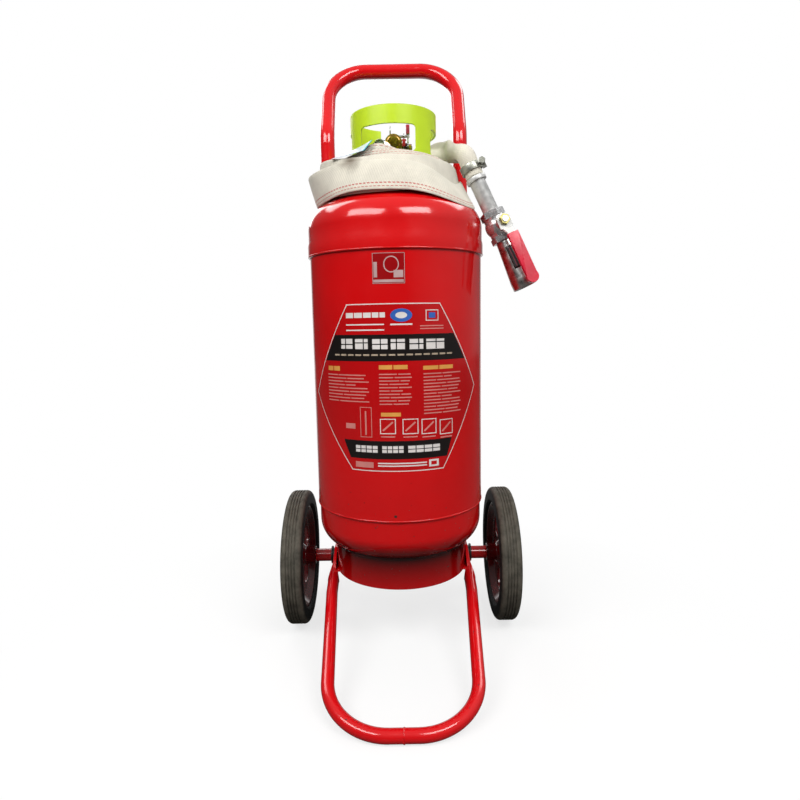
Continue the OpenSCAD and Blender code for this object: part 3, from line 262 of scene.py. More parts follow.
def solid_tyre_rubber():
    """Solid rubber, moulded: black sidewalls with a dull sheen and a tread that is grey with
    road dust and scuffed round its middle."""
    made, bsdf, node = shader("solid_tyre_rubber", Roughness=0.7, Specular_IOR_Level=0.2)
    place = node("TexCoord", out="Object")
    from_axle = node("VectorMath", (place, (0, AXLE_Y * MM, AXLE_Z * MM)), operation="SUBTRACT")
    flat = node("VectorMath", (from_axle, (0, 1, 1)), operation="MULTIPLY")
    radius = node("VectorMath", [flat], out="Value", operation="LENGTH")
    dust = node("TexNoise", {"Vector": place, "Scale": 1000 / 12, "Detail": 5, "Roughness": 0.6})
    # The dust ends in a ragged line where the tread turns into the sidewall
    ragged = node("Math", (dust, 0.003), operation="MULTIPLY")
    edge = node("Math", (radius, ragged), operation="ADD")
    tread = node("MapRange", (edge, 0.0995, 0.1045))
    scuffs = node("MapRange", (dust, 0.3, 0.62, 0.45, 1.0))
    scuffed = node("Math", (tread, scuffs), operation="MULTIPLY", use_clamp=True)
    feed(bsdf, "Base Color", node("Mix", {0: scuffed, 6: rgba(linear("090909")),
                                          7: rgba(colours().tread)}, **COLOUR_MIX))
    fine = node("TexNoise", {"Vector": place, "Scale": 1000 / 1.2})
    relief(node, bsdf, (fine, 0.00015, 0.7))
    return made


def plated_steel(name, hex_colour, roughness, metallic=1.0):
    """Zinc plate on steel: a soft grey metal gloss, cloudy where the plate was dipped."""
    made, bsdf, node = shader(name, Metallic=metallic, Roughness=roughness)
    place = node("TexCoord", out="Object")
    colour = linear(hex_colour)
    cloud = node("TexNoise", {"Vector": place, "Scale": 1000 / 8, "Detail": 4, "Roughness": 0.6})
    feed(bsdf, "Base Color",
         clouded(node, cloud, 0.3, 0.7, rgba(colour, 0.72), rgba(colour, 1.08)))
    feed(bsdf, "Roughness",
         node("MapRange", (cloud, 0.25, 0.75, roughness - 0.09, roughness + 0.12)))
    fine = node("TexNoise", {"Vector": place, "Scale": 1000 / 1.5})
    relief(node, bsdf, (fine, 0.00003, 0.5))
    return made


def forged_brass():
    """Brass, hot pressed and part machined: warm yellow, a little tarnished in its hollows."""
    made, bsdf, node = shader("forged_brass", Metallic=1.0, Roughness=0.28)
    place = node("TexCoord", out="Object")
    cloud = node("TexNoise", {"Vector": place, "Scale": 1000 / 6, "Detail": 4, "Roughness": 0.6})
    feed(bsdf, "Base Color",
         clouded(node, cloud, 0.35, 0.7, rgba(linear("8A6A2C")), rgba(linear("D9B45E"))))
    feed(bsdf, "Roughness", node("MapRange", (cloud, 0.3, 0.7, 0.36, 0.2)))
    fine = node("TexNoise", {"Vector": place, "Scale": 1000 / 1.2})
    relief(node, bsdf, (fine, 0.00006, 0.5))
    return made


def moulded_guard_plastic():
    """Polypropylene, injection moulded: saturated and slightly see-through in thin light, with
    a satin skin and faint flow lines."""
    made, bsdf, node = shader("moulded_guard_plastic", Roughness=0.34, Specular_IOR_Level=0.45,
                              Subsurface_Weight=0.18, Subsurface_Scale=0.004,
                              Subsurface_Radius=(1.0, 0.9, 0.3))
    place = node("TexCoord", out="Object")
    colour = colours().guard
    cloud = node("TexNoise", {"Vector": place, "Scale": 1000 / 35, "Detail": 3})
    feed(bsdf, "Base Color",
         clouded(node, cloud, 0.3, 0.7, rgba(colour, 0.94), rgba(colour, 1.04)))
    skin = node("TexNoise", {"Vector": place, "Scale": 1000 / 10, "Detail": 4})
    feed(bsdf, "Roughness", node("MapRange", (skin, 0.3, 0.7, 0.28, 0.42)))
    flow = node("TexNoise", {"Vector": place, "Scale": 1000 / 18})
    fine = node("TexNoise", {"Vector": place, "Scale": 1000 / 0.9, "Detail": 1})
    relief(node, bsdf, (flow, 0.0003, 0.4), (fine, 0.00004, 0.5))
    return made


def woven_jacket():
    """Polyester and cotton jacket, plain woven and unbleached: matte, with a thread relief, a
    little soiled, and with two broken red tracer threads along it."""
    made, bsdf, node = shader("woven_jacket", Roughness=0.88, Specular_IOR_Level=0.2,
                              Sheen_Weight=0.25, Sheen_Roughness=0.5)
    place = node("TexCoord", out="Object")
    canvas = colours().canvas
    # The UV map is in metres: U along the hose and V round it. Threads are really 0.8 mm
    # apart; they are drawn at twice that, so that the weave shows.
    uv = node("UVMap", out="UV", uv_map="along")
    along, across, _ = node("SeparateXYZ", [uv]).node.outputs
    turn = math.pi / sizes().weave_pitch
    warp, weft = (node("Math", [node("Math", (way, turn), operation="MULTIPLY")],
                       operation="SINE") for way in (across, along))
    crossing = node("Math", (warp, weft), operation="MULTIPLY")
    woven = node("Math", (crossing, 0.5, 0.5), operation="MULTIPLY_ADD")
    soil = node("TexNoise", {"Vector": place, "Scale": 1000 / 28, "Detail": 5, "Roughness": 0.6})
    # Slubs are thick places in a thread, several times as long as they are wide
    stretched = node("VectorMath", (uv, (0.15, 1, 1)), operation="MULTIPLY")
    slub = node("TexNoise", {"Vector": stretched, "Scale": 1000 / 1.6})
    cloth = clouded(node, soil, 0.3, 0.72, rgba(canvas, 0.8), rgba(canvas, 1.04))
    # Painted shadow: a brown patch in the fold beside the card, where the card's overhang shades
    # the hose, with a ragged rim
    card_shadow_spot = polar(98, 235, 686) * MM
    away = node("VectorMath", (place, card_shadow_spot), out="Value", operation="DISTANCE")
    ragged = node("Math", (soil, 0.02), operation="MULTIPLY")
    away = node("Math", (away, ragged), operation="ADD")
    shades = ((woven, 0.0, 0.8, 0.22, rgba(canvas, 0.45)),
              (slub, 0.35, 0.7, 0.12, rgba(canvas, 0.6)),
              (away, 0.012, 0.03, 0.8, rgba(linear("57442F"))))
    for pattern, low, high, most, colour in shades:
        share = node("MapRange", (pattern, low, high, most, 0.0))
        cloth = node("Mix", {0: share, 6: cloth, 7: colour}, **COLOUR_MIX)
    # Two tracer threads, at these distances round the jacket, show as slanted stitches
    lines = [node("Math", (across, line, 0.00065), operation="COMPARE")
             for line in (0.069, 0.0732)]
    slant = node("Math", (across, 0.8), operation="MULTIPLY")
    run = node("Math", (along, slant), operation="SUBTRACT")
    stitch = node("Math", (run, 0.0052), operation="DIVIDE")
    stitch = node("Math", [stitch], operation="FRACT")
    stitch = node("Math", (stitch, 0.66), operation="LESS_THAN")
    tracer = node("Math", lines, operation="MAXIMUM")
    tracer = node("Math", (tracer, stitch), operation="MULTIPLY")
    tracer = node("Math", (tracer, 0.85), operation="MULTIPLY")
    feed(bsdf, "Base Color",
         node("Mix", {0: tracer, 6: cloth, 7: rgba(colours().stripe)}, **COLOUR_MIX))
    crease = node("TexNoise", {"Vector": place, "Scale": 1000 / 20, "Detail": 3})
    relief(node, bsdf, (crease, 0.0012, 0.35), (woven, 0.00035, 0.8))
    return made


def dipped_vinyl():
    """Plasticised PVC, dipped over the lever: a rubbery gloss with slow waves."""
    made, bsdf, node = shader("dipped_vinyl", Roughness=0.3, Specular_IOR_Level=0.5)
    place = node("TexCoord", out="Object")
    colour = colours().grip
    cloud = node("TexNoise", {"Vector": place, "Scale": 1000 / 20, "Detail": 3})
    feed(bsdf, "Base Color",
         clouded(node, cloud, 0.3, 0.7, rgba(colour, 0.85), rgba(colour, 1.05)))
    skin = node("TexNoise", {"Vector": place, "Scale": 1000 / 8, "Detail": 3})
    feed(bsdf, "Roughness", node("MapRange", (skin, 0.3, 0.7, 0.24, 0.42)))
    wave = node("TexNoise", {"Vector": place, "Scale": 1000 / 12})
    relief(node, bsdf, (wave, 0.0004, 0.5))
    return made


def plain_finish(name, hex_colour, roughness, cloud_mm=10, depth=0.12, metallic=0.0):
    """A moulded or painted surface with a faint cloud and a fine grain."""
    made, bsdf, node = shader(name, Roughness=roughness, Metallic=metallic)
    place = node("TexCoord", out="Object")
    colour = linear(hex_colour)
    cloud = node("TexNoise", {"Vector": place, "Scale": 1000 / cloud_mm, "Detail": 3})
    feed(bsdf, "Base Color",
         clouded(node, cloud, 0.3, 0.7, rgba(colour, 1 - depth), rgba(colour, 1 + depth / 2)))
    fine = node("TexNoise", {"Vector": place, "Scale": 1000 / 0.8})
    relief(node, bsdf, (fine, 0.00004, 0.6))
    return made


def clear_lens():
    """Polycarbonate, moulded clear: sharp gloss, almost no tint."""
    return shader("clear_lens", Roughness=0.03, Transmission_Weight=1.0, IOR=1.49,
                  Base_Color=rgba(linear("F4F8F8")))[0]


# ---- Shapes ----

def finish_piece(name, bm, materials, replaced=(), body=BODY):
    """Makes an object of a bmesh, with its materials, body and the nodes it stands for."""
    mesh = bpy.data.meshes.new(name)
    bm.to_mesh(mesh)
    bm.free()
    piece = bpy.data.objects.new(name, mesh)
    bpy.context.scene.collection.objects.link(piece)
    for material in materials:
        mesh.materials.append(material)
    for polygon in mesh.polygons:
        polygon.use_smooth = True
    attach(piece, body)
    if replaced:
        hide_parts(*replaced)
    return piece


def mark_sharp(bm, angle):
    for edge in bm.edges:
        edge.smooth = len(edge.link_faces) == 2 and edge.calc_face_angle(0) < math.radians(angle)


def round_edges(piece, radius, angle):
    rounding = piece.modifiers.new("rounded_edges", "BEVEL")
    rounding.width = radius
    rounding.segments = 2
    rounding.limit_method = "ANGLE"
    rounding.angle_limit = math.radians(angle)
    rounding.use_clamp_overlap = True
    rounding.harden_normals = False


def thicken(piece, thickness):
    """Gives a film or a card its thickness, half on either side."""
    stock = piece.modifiers.new("thickness", "SOLIDIFY")
    stock.thickness = thickness
    stock.offset = 0


def finished_node(node, material, slot, radius=None, angle=USUAL_ANGLE):
    """A merged copy of a rigid node with rounded edges, which stands for it."""
    source = NODES[node]
    bm = bmesh.new()
    bm.from_mesh(source.data)
    bmesh.ops.remove_doubles(bm, verts=bm.verts, dist=MERGE_DISTANCE)
    bmesh.ops.dissolve_limit(bm, angle_limit=math.radians(0.4), verts=bm.verts, edges=bm.edges)
    mark_sharp(bm, angle)
    piece = finish_piece(node + "_finished", bm, [material], [node], source["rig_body"])
    if radius:
        round_edges(piece, radius, angle)


def finish_all(nodes, material, slot, radius=None, angle=USUAL_ANGLE):
    for node in nodes:
        finished_node(node, material, slot, radius, angle)


def dress(nodes, material, radius=None):
    """Gives rigid nodes a material, and rounds their edges."""
    for node in nodes:
        piece = NODES[node]
        piece.data.materials.clear()
        piece.data.materials.append(material)
        if radius:
            joined = piece.modifiers.new("joined_faces", "WELD")
            joined.merge_threshold = MERGE_DISTANCE
            round_edges(piece, radius, USUAL_ANGLE)


def swept(name, stations, material, replaced):
    """A closed tube extruded from station to station. Each station is a centre, the width's
    direction, the thickness' direction, half the width, half the thickness, the squareness
    and the (u, v) start of its UV."""
    sides = 16
    bm = bmesh.new()
    layer = bm.loops.layers.uv.new("along")
    ring = bmesh.ops.create_circle(bm, cap_ends=False, segments=sides, radius=1)["verts"]
    angles = [2 * math.pi * k / sides for k in range(sides)]
    edges = list(bm.edges)
    order, rows = ring, []
    for index, (centre, wide, thick, half, half_t, square, _, _) in enumerate(stations):
        if index:
            made = bmesh.ops.extrude_edge_only(bm, edges=edges)["geom"]
            places = {tuple(v.co): v for v in made if isinstance(v, bmesh.types.BMVert)}
            order = [places[tuple(v.co)] for v in order]
            edges = [e for e in made if isinstance(e, bmesh.types.BMEdge)
                     and all(v in set(order) for v in e.verts)]
        rows.append(order)
        for vert, angle in zip(order, angles):
            c, s = math.cos(angle), math.sin(angle)
            x = math.copysign(abs(c) ** square, c) * half
            y = math.copysign(abs(s) ** square, s) * half_t
            vert.co = centre + wide * x + thick * y
    where = {vert: (i, k) for i, row in enumerate(rows) for k, vert in enumerate(row)}
    perimeter = 2 * sizes().hose_width
    for face in bm.faces:
        spots = [where[loop.vert] for loop in face.loops]
        wraps = {0, sides - 1} <= {k for _, k in spots}
        for loop, (i, k) in zip(face.loops, spots):
            turn = (sides if wraps and k == 0 else k) / sides
            loop[layer].uv = (stations[i][6], (turn * perimeter + stations[i][7]))
    for row in (rows[0], rows[-1]):
        rim = [e for e in bm.edges if all(v in set(row) for v in e.verts)]
        bmesh.ops.contextual_create(bm, geom=rim)
    bmesh.ops.recalc_face_normals(bm, faces=bm.faces)
    piece = finish_piece(name, bm, [material], replaced)
    smooth = piece.modifiers.new("smooth_cloth", "SUBSURF")
    smooth.levels = smooth.render_levels = 1
    return piece


def bead_ring(section_r, start, axis, steps):
    """A round bead laid once round an axis through the origin, from a start beside it."""
    bm = bmesh.new()
    bmesh.ops.create_circle(bm, cap_ends=False, segments=10, radius=section_r)
    bmesh.ops.rotate(bm, verts=bm.verts, cent=(0, 0, 0),
                     matrix=Matrix.Rotation(math.pi / 2, 3, "X"))
    bmesh.ops.translate(bm, verts=bm.verts, vec=start)
    bmesh.ops.spin(bm, geom=bm.verts[:] + bm.edges[:], cent=(0, 0, 0), axis=axis,
                   angle=2 * math.pi, steps=steps, use_merge=True)
    bmesh.ops.recalc_face_normals(bm, faces=bm.faces)
    return bm


def dome_z(x):
    """Height of the tank's top dome at a distance from its axis, in millimetres."""
    crown = ((TOP_R - KNUCKLE_R) ** 2 + DOME_H ** 2 - KNUCKLE_R ** 2) / (2 * (DOME_H - KNUCKLE_R))
    tangent = (TOP_R - KNUCKLE_R) * crown / (crown - KNUCKLE_R)
    if x < tangent:
        return TOP_TANGENT_Z + math.sqrt(crown ** 2 - x * x) + DOME_H - crown
    return TOP_TANGENT_Z + math.sqrt(max(0.0, KNUCKLE_R ** 2 - (x - TOP_R + KNUCKLE_R) ** 2))


def catmull(route, steps=6):
    """Points of a Catmull-Rom curve through a route of vectors."""
    points = []
    last = len(route) - 1
    for i in range(last):
        p0, p1, p2, p3 = route[max(i - 1, 0)], route[i], route[i + 1], route[min(i + 2, last)]
        for j in range(steps):
            t = j / steps
            points.append(0.5 * ((2 * p1) + (p2 - p0) * t
                                 + (2 * p0 - 5 * p1 + 4 * p2 - p3) * t ** 2
                                 + (3 * p1 - p0 - 3 * p2 + p3) * t ** 3))
    return points + [route[-1]]


def heading(path, i):
    """The way ahead at a point of a path."""
    return (path[min(i + 1, len(path) - 1)] - path[max(i - 1, 0)]).normalized()


def square_to(ahead, wide):
    """The directions of a flat hose's width and thickness, square to the way ahead."""
    wide = (wide - ahead * wide.dot(ahead)).normalized()
    return wide, ahead.cross(wide).normalized()


def lerp(a, b, f):
    return a + (b - a) * f


def smoothstep(low, high, value):
    t = min(1.0, max(0.0, (value - low) / (high - low)))
    return t * t * (3 - 2 * t)


def polar(radius, degrees, z):
    """A point round the tank's axis, in millimetres; 0 degrees is to the right, 270 in front."""
    a = math.radians(degrees)
    return Vector((radius * math.cos(a), TANK_Y + radius * math.sin(a), z))


def flat_way(degrees):
    """A level direction, in the same degrees."""
    a = math.radians(degrees)
    return Vector((math.cos(a), math.sin(a), 0))


# ---- Operators ----

class EXT_OT_camera(bpy.types.Operator):
    """Sets the camera in front of the extinguisher, a little above the label's height"""
    bl_idname = "extinguisher.camera"
    bl_label = "Camera"

    # In millimetres and degrees
    lens = 26.55
    sensor_width = 36
    eye = Vector((2.5, TANK_Y - 875, 479))
    pitch_down = 7.5
    roll = -1.06

    def execute(self, context):
        data = bpy.data.cameras.new("front_camera")
        camera = bpy.data.objects.new("front_camera", data)
        context.scene.collection.objects.link(camera)
        data.sensor_width = self.sensor_width
        data.lens = self.lens
        data.dof.use_dof = False
        camera.location = self.eye * MM
        camera.rotation_mode = "QUATERNION"
        turn = (Matrix.Rotation(math.pi / 2 - math.radians(self.pitch_down), 3, "X")
                @ Matrix.Rotation(math.radians(self.roll), 3, "Z"))
        camera.rotation_quaternion = turn.to_quaternion()
        context.scene.camera = camera
        return {"FINISHED"}


class EXT_OT_hose(bpy.types.Operator):
    """Lays the flat hose round the guard in turns, and leads its end over to the nozzle"""
    bl_idname = "extinguisher.hose"
    bl_label = "Hose"

    # Places in millimetres from the tank's axis and the ground, angles in degrees round it
    inlet_route = [(0, 62, 727), (0, 76, 727), (-3, 92, 726), (-16, 104, 720), (-36, 106, 710),
                   (-58, 92, 700), (-78, 68, 687)]
    lead_route = [(36, 84, 708), (44, 70, 725), (51, 55, 735), (64, 40, 731), (76, 25, 725),
                  (88, 8, 717)]
    start_angle = 150
    end_angle = 52
    # Half the round hose's width at the outlet, under the nozzle's clamp and before it
    outlet_r, clamp_r, lead_r = 13.5, 12.9, 13.2
    # How far round the jacket the inner turns are flattened along another line
    inner_shift = 22.0
    # The section's squareness: 1 is an ellipse and 0 a box
    flat_squareness = 0.55
    # The inner turn's end: radius, degrees past the turns' end and height of the points that
    # it rises by, the way its fold points, the fold's radius, and how far back it runs
    rising = ((78, 6, 699), (86, 13, 703.5))
    fold_heading = 66
    fold_r = 4.2
    back = (5, 10)
    # The lead: how far along the nozzle its last points lie, the way its flat end leans, half
    # the thickness and the squareness there, and how far round the jacket it is flattened
    on_nozzle = (-16, 4, 20)
    lead_lean = Vector((0.75, 0.35, 0.55))
    lead_half_t = 3.4
    lead_squareness = 0.62
    lead_shift = 12.0

    # How the turns lie: degrees along the hose, radius of the foot and of the head, height of
    # the foot above the dome. The outer turn leans outward at the left, where it has come away
    # from the others, is folded in beside that, and hangs lowest at the right, under the
    # nozzle. The inner turns are stacked high in front.
    lie = [(150, 106, 105, 3), (180, 108, 117, 1), (200, 109, 124, 0.2), (212, 109.5, 117, 1.5),
           (226, 110, 105, 6), (236, 110, 97.5, 8), (250, 109, 96, 8), (285, 109, 95.5, 7.5),
           (300, 113, 94, 3.5), (315, 116, 93.5, 0.8), (326, 118, 93, 0.6), (345, 115, 93, 1),
           (360, 109, 93.5, 2.5), (450, 105, 92, 3), (510, 103, 91.5, 3.5),
           (545, 101.5, 103, 12), (562, 101.5, 105, 13), (582, 103, 98, 10),
           (600, 104, 92, 10.5), (628, 103.5, 89, 12), (645, 102, 88, 11.5),
           (660, 98.5, 86.5, 8), (675, 94, 85.5, 3.5), (690, 92, 85, 3), (705, 93, 85.5, 3),
           (720, 96, 87, 3), (740, 100, 87.5, 3), (870, 98, 87, 3), (920, 97.5, 92, 6),
           (940, 102, 90, 2.5), (960, 104, 87.5, 2), (985, 103, 85, 2), (1005, 98, 83.5, 3),
           (1020, 93, 82, 4), (1035, 89, 81, 3.5), (1060, 88, 81, 3), (1100, 92, 82.5, 3),
           (1230, 92.5, 82.5, 3), (1290, 91, 81, 8), (1335, 90, 79.5, 9.5), (1360, 89.5, 79, 10),
           (1385, 87.5, 78.3, 7), (1405, 84, 77, 4), (1440, 86.5, 77.5, 3),
           (1590, 86.5, 77.5, 3), (1650, 85, 76.5, 9), (1694, 84.5, 76, 10.5),
           (1720, 84, 75.5, 9.5), (1745, 82.5, 74.8, 6), (1770, 80, 73.5, 4), (1800, 82, 74, 3),
           (1950, 80.5, 73, 3), (2010, 79, 72.5, 8), (2052, 78.5, 72, 10), (2080, 78, 71.5, 8),
           (2105, 77, 71, 5), (2130, 76, 70.3, 4), (2160, 76.8, 70.4, 3), (2310, 74, 69, 3),
           (2370, 73, 68.5, 7), (2398, 72.7, 68, 8.5), (2410, 72.5, 68, 21), (2424, 72, 68, 6.5),
           (2440, 72, 68, 6), (2465, 71, 67.5, 4.5), (2500, 70.5, 67, 3), (2600, 69.5, 66.5, 2)]
    # How far apart the stations are, and over how far a corner of the table is smoothed
    step = 4
    smoothing = (-9, -3, 3, 9)

    def laid(self, angle):
        """Foot, head and lift of the winding at an angle along it, with the corners smoothed."""
        sums = [0.0, 0.0, 0.0]
        for shift in self.smoothing:
            at = min(max(angle + shift, self.lie[0][0]), self.lie[-1][0] - 0.001)
            i = max(k for k in range(len(self.lie) - 1) if self.lie[k][0] <= at)
            low, high = self.lie[i], self.lie[i + 1]
            f = (at - low[0]) / (high[0] - low[0])
            sums = [total + lerp(low[k], high[k], f) for k, total in enumerate(sums, 1)]
        return [total / len(self.smoothing) for total in sums]

    def winding(self, width):
        """The turns, from the outer one, which the inlet joins, to the inner one: for each
        point its centre, the width's direction and the turns laid before it."""
        total = 360 * sizes().hose_turns - self.start_angle + self.end_angle
        steps = int(total / self.step)
        turns = []
        for i in range(steps + 1):
            angle = self.start_angle + total * i / steps
            tau = (angle - self.start_angle) / 360
            # Slow waves of about a millimetre: each turn was laid by hand
            round_axis = flat_way(angle) * 1.3
            wave = 1.3 * noise.noise(Vector((round_axis.x, round_axis.y, tau * 0.9)))
            drift = 0.7 * noise.noise(Vector((tau * 2.1, 7.3, 1.7)))
            foot, head, lift = self.laid(angle)
            foot, head = foot + drift, head + drift
            low = dome_z(foot) + lift + wave
            rise = math.sqrt(max(1.0, width ** 2 - (foot - head) ** 2))
            bottom, top = polar(foot, angle, low), polar(head, angle, low + rise)
            turns.append(((bottom + top) / 2, (bottom - top).normalized(), tau))
        return turns

    def inlet_and_turns(self, half, half_t):
        """Stations from the outlet, where the hose is round, to the end of the inner turn."""
        turns = self.winding(half * 2)
        route = [Vector((x, y + TANK_Y, z)) for x, y, z in self.inlet_route]
        inlet = catmull(route + [turns[0][0]])[:-1]
        path = inlet + [centre for centre, _, _ in turns]
        stations, travelled = [], 0.0
        for i, point in enumerate(path):
            if i:
                travelled += (point - path[i - 1]).length
            if i < len(inlet):
                f = smoothstep(8, len(inlet), i)
                lean, tau = Vector((0, 0, -1)).lerp(turns[0][1], f), 0.0
            else:
                f = 1.0
                _, lean, tau = turns[i - len(inlet)]
            shift = self.inner_shift * smoothstep(1.2, 4.0, tau)
            stations.append([point, *square_to(heading(path, i), lean),
                             lerp(self.outlet_r, half, f), lerp(self.outlet_r, half_t, f),
                             lerp(1.0, self.flat_squareness, f), travelled, shift])
        return stations, turns[-1][1]

    def folded_end(self, stations, lean, half, half_t):
        """The inner turn rises, turns flat on top of the others and folds back over itself."""
        up = Vector((0, 0, 1))
        rising = catmull([stations[-1][0]] + [polar(radius, self.end_angle + past, z)
                                              for radius, past, z in self.rising])[1:]
        onward = flat_way(self.fold_heading + 90)
        fold = [rising[-1] + onward * (self.fold_r * math.sin(a))
                + up * (self.fold_r * (1 - math.cos(a)))
                for a in (math.pi * k / 8 for k in range(1, 9))]
        back = [fold[-1] - onward * d + up * (d * 0.25) for d in self.back]
        path = [stations[-1][0]] + rising + fold + back
        travelled = stations[-1][6]
        for i in range(1, len(path)):
            travelled += (path[i] - path[i - 1]).length
            f = smoothstep(0, len(rising), i)
            across = lean.lerp(flat_way(self.fold_heading), f)
            stations.append([path[i], *square_to(heading(path, i), across),
                             half * lerp(1, 0.9, f), half_t, self.flat_squareness, travelled,
                             self.inner_shift])
        return travelled

    def lead(self, half):
        """Stations of the lead: flat at the fold, round and tight in the nozzle's clamp."""
        on_nozzle = [NOZZLE_TOP + NOZZLE_DIR * s for s in self.on_nozzle]
        path = catmull([Vector((x, y + TANK_Y, z)) for x, y, z in self.lead_route] + on_nozzle)
        side = NOZZLE_DIR.cross(Vector((0, 0, 1))).normalized()
        stations, travelled = [], 0.0
        for i, point in enumerate(path):
            if i:
                travelled += (point - path[i - 1]).length
            share = i / (len(path) - 1)
            f = smoothstep(0.25, 0.8, share)
            lean = self.lead_lean.lerp(side, f)
            r = lerp(self.lead_r, self.clamp_r, smoothstep(0.78, 0.86, share))
            stations.append([point, *square_to(heading(path, i), lean), lerp(half * 0.92, r, f),
                             lerp(self.lead_half_t, r, f), lerp(self.lead_squareness, 1.0, f),
                             travelled, self.lead_shift])
        return stations

    def in_metres(self, stations):
        """The stations with their places and sizes in metres; the directions stay."""
        return [[s[0] * MM, s[1], s[2], s[3] * MM, s[4] * MM, s[5], s[6] * MM, s[7] * MM]
                for s in stations]

    def execute(self, context):
        size = sizes()
        canvas = woven_jacket()
        half, half_t = size.hose_width / MM / 2, size.hose_thickness / MM / 2
        stations, lean = self.inlet_and_turns(half, half_t)
        length = self.folded_end(stations, lean, half, half_t) * MM
        coil = swept("hose_winding", self.in_metres(stations), canvas,
                     ["hose_coil", "hose_inlet"])

        lead = self.in_metres(self.lead(half))
        piece = swept("hose_lead_cloth", lead, canvas, ["hose_lead"])
        return {"FINISHED"}


class EXT_OT_clamps(bpy.types.Operator):
    """Finishes the hose clamps"""
    bl_idname = "extinguisher.clamps"
    bl_label = "Hose clamps"

    def execute(self, context):
        zinc = plated_steel("zinc_plated_clamp", "A9AA9F", 0.36, metallic=0.8)
        dress(["inlet_clamp", "hose_clamp"], zinc, sizes().edge_radius)
        return {"FINISHED"}


class EXT_OT_tank(bpy.types.Operator):
    """Finishes the tank with its enamel and lays the weld beads along its seams"""
    bl_idname = "extinguisher.tank"
    bl_label = "Tank"

    # Chips in front, each an x, a height and a radius in millimetres
    knocks = ((-6, 224.5, 1.9), (-33, 207, 0.9), (-26, 217, 0.5), (21, 252, 0.5),
              (18, 196, 0.6), (62, 230, 0.5), (-70, 236, 0.6), (104, 300, 0.5),
              (108, 380, 0.6), (111, 540, 0.5), (-108, 470, 0.5))
    # Rust spots grow fewer up to this height in metres
    chips_below = 0.3
    # Seams: name, radius and height in millimetres, share of the bead's radius, ripple
    seams = (("lip_weld", LIP_R - 1.1, LIP_Z + 0.2, 0.7, 0.0002),
             ("lower_weld", BARREL_R - 1.0, BARREL_Z - 0.2, 0.75, 0.0003),
             ("skirt_weld_painted_shade", SKIRT_R + 0.4, SKIRT_TOP_Z + 0.6, 1.0, 0.0003))

    def bead(self, name, enamel, radius, z, section_r, ripple):
        """A weld bead round the tank, with the ripples of its passes."""
        passes = 110
        bm = bead_ring(section_r, (radius, 0, z), (0, 0, 1), 360)
        for vert in bm.verts:
            out = Vector((vert.co.x, vert.co.y, 0)).normalized()
            flow = noise.noise(Vector((out.x, out.y, z * 9)) * 9)
            pulse = math.sin(math.atan2(out.y, out.x) * passes + 2 * flow)
            vert.co += out * ripple * (0.5 * pulse + flow)
            vert.co.z += ripple * 0.8 * noise.noise(Vector((out.x, out.y, 3)) * 5)
        bmesh.ops.translate(bm, verts=bm.verts, vec=(0, TANK_Y * MM, 0))
        finish_piece(name, bm, [enamel])

    def execute(self, context):
        coat = partial(gloss_enamel, colour=colours().tank, chips_below=self.chips_below)
        crease = SKIRT_TOP_Z * MM
        enamel = coat("tank_enamel", knocks=self.knocks)
        # Painted shade: the bottom head's and the skirt's colour darkens towards the crease
        # between them, for the shadow under the tank
        head = coat("head_enamel", grime=(crease + 0.003, crease + 0.03, 0.06),
                    knocks=self.knocks)
        skirt = coat("skirt_enamel", grime=(crease, crease - 0.06, 0.03))
        finish_all(["barrel", "top_head", "neck_ring"], enamel, "tank_paint", *PRESSED_EDGE)
        finish_all(["bottom_head"], head, "tank_paint", *PRESSED_EDGE)
        finish_all(["base_skirt"], skirt, "tank_paint", *SKIRT_EDGE)
        # The skirt's weld bead lies in the crease and takes the skirt's paint, so it is painted
        # almost black, as shade
        for (name, radius, z, share, ripple), paint in zip(self.seams, (enamel, enamel, skirt)):
            self.bead(name, paint, radius * MM, z * MM, sizes().bead_radius * share, ripple)
        return {"FINISHED"}


